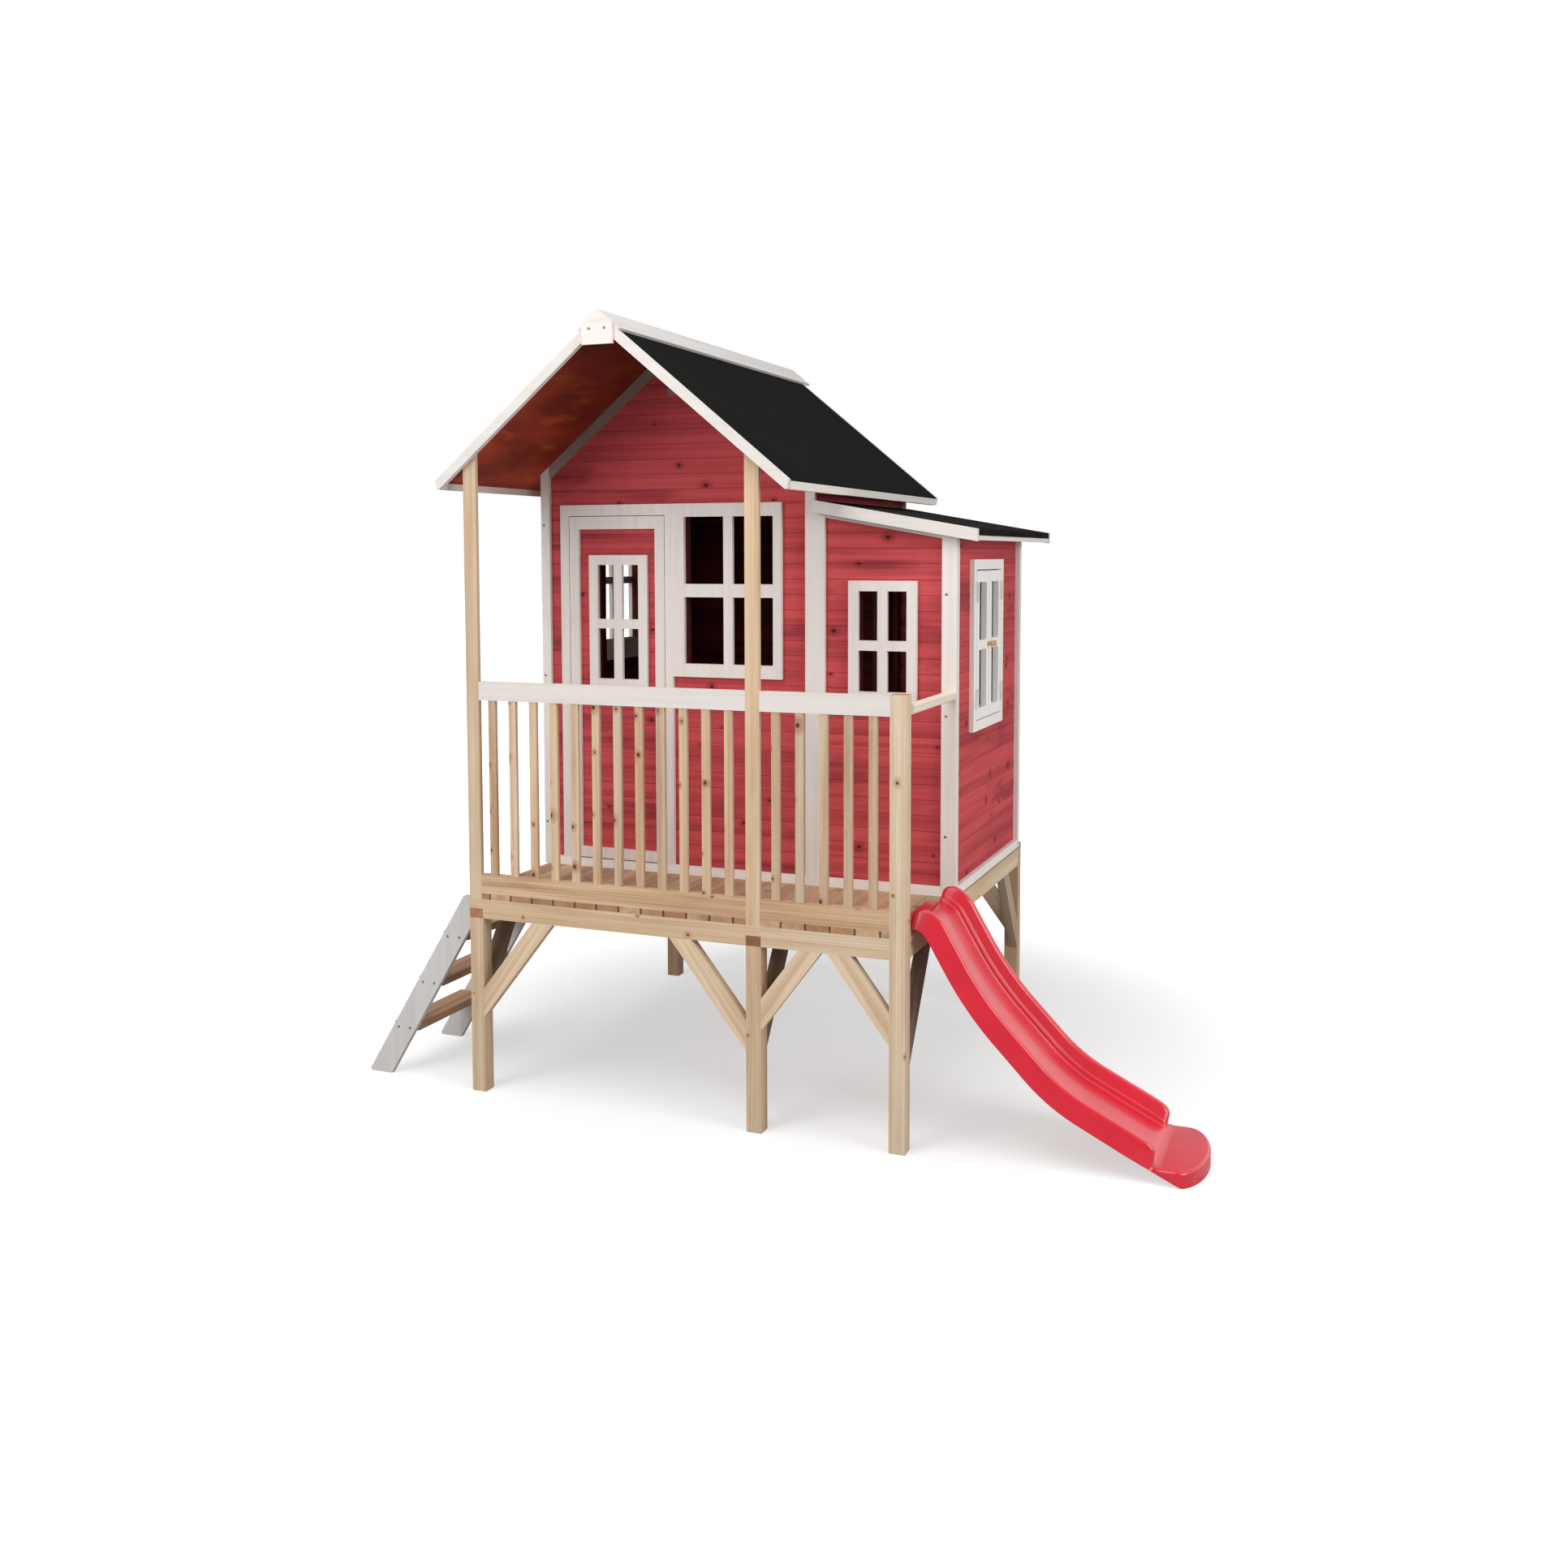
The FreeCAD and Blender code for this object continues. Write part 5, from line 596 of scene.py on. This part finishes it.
# THE SLIDE
# One hollow moulding in glossy red plastic: a flat chute between two rails that fold down into
# skirts, a pad that lies on the deck, and a blunt nose with a sunk panel that stands on the ground.
moulding = Finish("slide_red_plastic")
x, y, z = moulding.place()
pebble = moulding.noise(x * 420.0, y * 420.0, z * 420.0, 2.0)
ripple = moulding.noise(x * 9.0, y * 9.0, z * 9.0, 2.0)
plastic = moulding.mix(ripple.fade(0.35, 0.7) * 0.35, shade("#D2162E"), shade("#BB1127"))
moulding.cover(plastic, 0.26 + ripple * 0.1, pebble * 0.2 + ripple * 0.6, 0.0006,
               Specular_IOR_Level=0.6, Coat_Weight=0.35, Coat_Roughness=0.1)

slide_low, slide_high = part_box("slide")
rail_height = 45 * mm
skirt_fall = 12 * mm
skin_thickness = 5 * mm
lip_x = slide_low.x + 40 * mm
lip_z = slide_high.z - rail_height
slide_y = (slide_low.y + slide_high.y) / 2
nose_tip = slide_high.x
nose_top = 43 * mm
nose_half = 165 * mm
fall = lip_z - nose_top
# The chute falls in three slopes, each with its share of the height, and bends between them.
falls = [0.371 * fall, 0.3917 * fall, 0.2373 * fall]
slopes = [math.radians(60), math.radians(46), math.radians(26.5)]
nose_slope = math.radians(3)
lip_run = 38 * mm
nose_run = 32 * mm
station_gap = 5 * mm
runs = [drop / math.tan(slope) for drop, slope in zip(falls, slopes)]
chute_end = lip_x + lip_run + sum(runs)
rail_end = chute_end - 10.6 * mm

lengths = [lip_run] + [drop / math.sin(slope) for drop, slope in zip(falls, slopes)] + [nose_run]
headings = [0.0] + [-slope for slope in slopes] + [-nose_slope]
bends = [60 * mm, 895 * mm, 485 * mm, 80 * mm]
shares = [radius * math.tan(abs(after - before) / 2)
          for radius, before, after in zip(bends, headings, headings[1:])]
spine = [(lip_x, lip_z, 0.0)]
for leg, heading in enumerate(headings):
    straight = lengths[leg] - (shares[leg - 1] if leg else 0.0) - (shares[leg] if leg < len(bends) else 0.0)
    moves = [(straight, heading, heading)]
    if leg < len(bends):
        moves.append((bends[leg] * abs(headings[leg + 1] - heading), heading, headings[leg + 1]))
    for reach, before, after in moves:
        steps = max(1, math.ceil(reach / station_gap))
        turn = (after - before) / steps
        chord = reach / steps
        if turn:
            chord *= math.sin(turn / 2) / (turn / 2)
        for step in range(steps):
            across, up, at = spine[-1]
            lean = before + (step + 0.5) * turn
            spine.append((across + chord * math.cos(lean), up + chord * math.sin(lean),
                          before + (step + 1) * turn))


def rounded(corners):
    """Places along an open outline whose inner corners, each with its reach, are rounded."""
    places = [corners[0][:2]]
    for before, corner, after in zip(corners, corners[1:], corners[2:]):
        here = Vector(corner[:2])
        arms = [Vector(other[:2]) - here for other in (before, after)]
        first, last = [here + arm.normalized() * min(corner[2], arm.length * 0.45) for arm in arms]
        for share in (0.0, 0.25, 0.5, 0.75, 1.0):
            places.append(tuple(first.lerp(here, share).lerp(here.lerp(last, share), share)))
    places.append(corners[-1][:2])
    return places


# Half of the section over the chute: millimetres from the middle, share of the rail's rise, and how
# far the corner is rounded. The second and the third corner make the ledge inside the rail.
half_section = [(112, 0.0, 12), (116, 0.3, 3), (123, 0.34, 3), (138, 1.0, 9), (158, 1.0, 9)]
rail_foot, skirt_half, chute_half = 120, 170, 118 * mm


def slide_ring(station, rise, narrow, hollow):
    """One ring round the moulding's wall, with rails of one rise. A hollow of 0 fills the rails."""
    right = [((wide - narrow * (wide > rail_foot)) * mm, share * rise, reach * mm)
             for wide, share, reach in half_section]
    right.append(((skirt_half - narrow) * mm, -skirt_fall, 0.0))
    left = [(-wide, up, reach) for wide, up, reach in reversed(right)]
    outer = rounded(left + right)
    inner = []
    for index, (wide, up) in enumerate(outer):
        before = Vector(outer[max(0, index - 1)])
        after = Vector(outer[min(len(outer) - 1, index + 1)])
        along = (after - before).normalized()
        if index in (0, len(outer) - 1):
            drawn_in = (wide - math.copysign(skin_thickness, wide), up)
        else:
            drawn_in = (wide + along.y * skin_thickness, max(up - along.x * skin_thickness, -skirt_fall))
        flat = -skirt_fall if abs(wide) > chute_half else -skin_thickness
        inner.append((drawn_in[0], drawn_in[1] * hollow + flat * (1 - hollow)))
    x, z, heading = station
    return [(x - up * math.sin(heading), slide_y + wide, z + up * math.cos(heading))
            for wide, up in outer + inner[::-1]]


slide_points = []
slide_faces = []


def skin(rings):
    """A closed surface over rings of points that all have the same count."""
    start = len(slide_points)
    count = len(rings[0])
    for ring in rings:
        slide_points.extend(ring)
    for row in range(len(rings) - 1):
        low = start + row * count
        for at in range(count):
            after = (at + 1) % count
            slide_faces.append((low + at, low + after, low + count + after, low + count + at))
    slide_faces.append(tuple(reversed(range(start, start + count))))
    slide_faces.append(tuple(range(start + (len(rings) - 1) * count, start + len(rings) * count)))


# The rails curve up behind the lip, and curve down into a closed round end short of the nose.
lip_curve, lip_rise, rail_growth = 26 * mm, 12 * mm, 33 * mm
end_start, end_reach, end_roundness, end_wall = 46 * mm, 42 * mm, 2.8, 8 * mm
narrowing, narrowing_run = 6.5, 70 * mm
rings = []
for index, station in enumerate(spine):
    begun = min(1.0, (station[0] - lip_x) / lip_curve)
    rise = lip_rise + rail_growth * math.sqrt(1 - (1 - begun) ** 2)
    ended = max(0.0, (station[0] - rail_end + end_start) / end_reach)
    rise = rise * (1 - ended ** end_roundness) ** (1 / end_roundness) if ended < 1 else 0.0
    narrow = narrowing * min(1.0, max(0.0, (station[0] - chute_end + narrowing_run) / narrowing_run))
    hollow = 0.0 if index == 0 or station[0] > rail_end - end_wall else 1.0
    rings.append(slide_ring(station, rise, narrow, hollow))
skin(rings)


panel_levels = ((9, 0.0), (10, 1.0), (29, 1.0), (30, 0.0))


def block(outline, foot, top, edge, sunk=None):
    """A block over a plan outline, with a foot level for each place and a rounded upper edge."""
    count = len(outline)
    inward = []
    for index in range(count):
        before, after = Vector(outline[index - 1]), Vector(outline[(index + 1) % count])
        along = (after - before).normalized()
        inward.append((-along.y, along.x))
    levels = [(0.0, 0.0, 0.0)]
    if sunk:
        levels += [(0.0, height * mm, share) for height, share in panel_levels]
    for step in range(7):
        angle = step * math.pi / 12
        levels.append((edge * (1 - math.cos(angle)), top - edge + edge * math.sin(angle), 0.0))
    rows = []
    for inset, level, depth in levels:
        row = []
        for (x, y), (across, deep) in zip(outline, inward):
            move = inset + (depth * sunk(x, y) if sunk else 0.0)
            row.append((x + across * move, y + deep * move, max(level, foot(x))))
        rows.append(row)
    skin(rows)


nose_bow, nose_length, foot_run = 72 * mm, 130 * mm, 52 * mm
panel_half, panel_depth = 118 * mm, 3 * mm


def nose_foot(x):
    """Level of the nose's underside, which rises to the skirts from a line short of the tip."""
    start = chute_end - skirt_fall * math.sin(slopes[2])
    low = nose_top - skirt_fall * math.cos(slopes[2])
    if x < start:
        return low + (start - x) * math.tan(slopes[2])
    return max(0.0, low * (nose_tip - foot_run - x) / (nose_tip - foot_run - start))


def nose_panel(x, y):
    """How deep the panel round the nose's front is sunk at a place."""
    return panel_depth if abs(y - slide_y) < panel_half else 0.0


shoulder = nose_tip - nose_bow
nose_back = nose_tip - nose_length
nose_plan = [(nose_back + (shoulder - nose_back) * share / 5, slide_y - nose_half) for share in range(5)]
for step in range(61):
    angle = (step / 60 - 0.5) * math.pi
    nose_plan.append((shoulder + nose_bow * math.cos(angle), slide_y + nose_half * math.sin(angle)))
nose_plan += [(x, 2 * slide_y - y) for x, y in reversed(nose_plan[:5])]
nose_edge = 10 * mm
block(nose_plan, nose_foot, nose_top, nose_edge, nose_panel)

pad_thickness, pad_edge = 17 * mm, 5 * mm
pad_half = 112 * mm
pad_corner = 14 * mm
pad_plan = [(lip_x + 0.5 * mm, slide_y - pad_half), (lip_x + 0.5 * mm, slide_y + pad_half)]
for side, first in ((1, 90), (-1, 180)):
    for step in range(7):
        angle = math.radians(first + step * 15)
        pad_plan.append((slide_low.x + pad_corner + pad_corner * math.cos(angle),
                         slide_y + side * (pad_half - pad_corner) + pad_corner * math.sin(angle)))
block(pad_plan, lambda x: lip_z - pad_thickness, lip_z, pad_edge)

slide_mesh = bpy.data.meshes.new("slide_moulding")
slide_mesh.from_pydata(slide_points, [], slide_faces)
slide_mesh.materials.append(moulding.material)
slide_mesh.polygons.foreach_set("use_smooth", [True] * len(slide_mesh.polygons))
slide_mesh.set_sharp_from_angle(angle=math.radians(40))
slide = bpy.data.objects.new("slide_moulding", slide_mesh)
stage_scene.collection.objects.link(slide)
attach(slide, "house")
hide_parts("slide")

# THE SCREWS
# Low round zinc heads with a cross recess. They hold the steps in the stringers, the block at
# the gable's peak, and the corner boards over the ends of the wall boards.
steel = Finish("zinc_screw_steel")
x, y, z = steel.place()
scuff = steel.noise(x * 300.0, y * 300.0, z * 300.0, 3.0)
metal = steel.mix(scuff.fade(0.3, 0.7), shade("#8C8C8A"), shade("#5C5C5A"))
zinc = steel.cover(metal, 0.35 + scuff * 0.25, scuff, 0.0002, Metallic=0.9)

# Rings of the head from the recess outward, each with its share of the radius and of the height.
head_rings = ((0.18, -0.1), (0.4, 0.75), (0.72, 0.95), (0.92, 0.6), (1.0, 0.0))
head_sides = 12
head_points = [(0.0, 0.0, -0.1)]
for ring, (share, rise) in enumerate(head_rings):
    for side in range(head_sides):
        angle = 2 * math.pi * side / head_sides
        in_cross = ring == 1 and side % 3 == 0
        head_points.append((share * math.cos(angle), share * math.sin(angle), 0.1 if in_cross else rise))
head_faces = []
for side in range(head_sides):
    after = (side + 1) % head_sides
    head_faces.append((0, 1 + side, 1 + after))
    for ring in range(len(head_rings) - 1):
        low, high = 1 + ring * head_sides, 1 + (ring + 1) * head_sides
        head_faces.append((low + side, high + side, high + after, low + after))
head_mesh = bpy.data.meshes.new("screw_head")
head_mesh.from_pydata(head_points, [], head_faces)
screw_head = bpy.data.objects.new("screw_head", head_mesh)
stage_scene.collection.objects.link(screw_head)

ladder_slope = math.radians(58.5)
ladder_foot, stringer_width = -320, 70
stringer_sides = ((33, -1), (429, 1))
across_stringer = stringer_width / math.sin(ladder_slope)
places = []
for level in (151, 302, 453):
    front_edge = ladder_foot - across_stringer + level / math.tan(ladder_slope)
    for share in (0.25, 0.75):
        across = front_edge + share * across_stringer
        for deep, way in stringer_sides:
            places.append(((across, deep, level), (0, way, 0)))
ridge_place, ridge_height, peak_screw_gap, peak_screw_drop, peak_face = 464, 2282.2, 24, 43.5, -28
for across in (ridge_place - peak_screw_gap, ridge_place + peak_screw_gap):
    places.append(((across, peak_face, ridge_height - peak_screw_drop), (0, -1, 0)))
left_trim, right_trim, wall_front, wall_back = -1, 1339, 455, 1385
for level in (743, 1221, 1705):
    places.append(((left_trim, wall_front, level), (0, -1, 0)))
    places.append(((left_trim, wall_back, level), (0, 1, 0)))
for level in (782, 1137.5, 1493):
    places.append(((right_trim, wall_front, level), (0, -1, 0)))
points_mesh = bpy.data.meshes.new("screw_places")
points_mesh.from_pydata([(x * mm - origin_x, y * mm - origin_y, z * mm) for (x, y, z), look in places],
                        [], [])
looks = points_mesh.attributes.new("look", "FLOAT_VECTOR", "POINT")
for index, (place, look) in enumerate(places):
    looks.data[index].vector = look
screw_places = bpy.data.objects.new("screw_places", points_mesh)
stage_scene.collection.objects.link(screw_places)

setting = bpy.data.node_groups.new("screw_setting", "GeometryNodeTree")
setting.interface.new_socket("Places", in_out="INPUT", socket_type="NodeSocketGeometry")
head_input = setting.interface.new_socket("Head", in_out="INPUT", socket_type="NodeSocketObject")
radius_input = setting.interface.new_socket("Head Radius", in_out="INPUT", socket_type="NodeSocketFloat")
height_input = setting.interface.new_socket("Head Height", in_out="INPUT", socket_type="NodeSocketFloat")
steel_input = setting.interface.new_socket("Steel", in_out="INPUT", socket_type="NodeSocketMaterial")
setting.interface.new_socket("Screws", in_out="OUTPUT", socket_type="NodeSocketGeometry")
driver = Finish("screw_setting", setting)
given = driver.node("NodeGroupInput").outputs
shape = driver.node("GeometryNodeObjectInfo", {"transform_space": "ORIGINAL"}, {"Object": given["Head"]})
size = driver.node("ShaderNodeCombineXYZ", None,
                   {0: given["Head Radius"], 1: given["Head Radius"], 2: given["Head Height"]}).outputs[0]
look = driver.node("GeometryNodeInputNamedAttribute", {"data_type": "FLOAT_VECTOR"}, {"Name": "look"})
facing = driver.node("FunctionNodeAlignRotationToVector", {"axis": "Z"}, {"Vector": look.outputs[0]})
heads = driver.node("GeometryNodeInstanceOnPoints", None,
                    {"Points": given["Places"], "Instance": shape.outputs["Geometry"],
                     "Rotation": facing.outputs[0], "Scale": size})
angle = driver.node("FunctionNodeRandomValue", {"data_type": "FLOAT"}, {"Min": 0.0, "Max": 1.5, "Seed": 7})
turn = driver.node("ShaderNodeCombineXYZ", None,
                   {2: [one for one in angle.outputs if one.enabled][0]}).outputs[0]
turned = driver.node("GeometryNodeRotateInstances", None, {"Instances": heads.outputs[0], "Rotation": turn})
solid = driver.node("GeometryNodeRealizeInstances", None, {"Geometry": turned.outputs[0]})
coated = driver.node("GeometryNodeSetMaterial", None,
                     {"Geometry": solid.outputs[0], "Material": given["Steel"]})
driver.node("NodeGroupOutput", None, {0: coated.outputs[0]})

work = screw_places.modifiers.new("screws", "NODES")
work.node_group = setting
work[head_input.identifier] = screw_head
head_radius, head_height = 4 * mm, 1.2 * mm
work[radius_input.identifier] = head_radius
work[height_input.identifier] = head_height
work[steel_input.identifier] = zinc
drawn = screw_places.evaluated_get(bpy.context.evaluated_depsgraph_get())
screws_mesh = bpy.data.meshes.new_from_object(drawn)
for thing in (screw_places, screw_head):
    bpy.data.objects.remove(thing)
screws = bpy.data.objects.new("screw_heads", screws_mesh)
stage_scene.collection.objects.link(screws)
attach(screws, "house")
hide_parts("screws")

# THE HINGES
# Lift-off hinges: plain zinc inside the door, and painted over with the frame on the two leaves
# of the side window.
for node in ("door_hinge_plates", "door_hinge_leaves"):
    dress(node, zinc)
for node in ("side_window_hinge_plates", "side_window_front_hinge_leaves", "side_window_back_hinge_leaves"):
    dress(node, white_paint(node + "_white", "z", 211, knot=0.0))
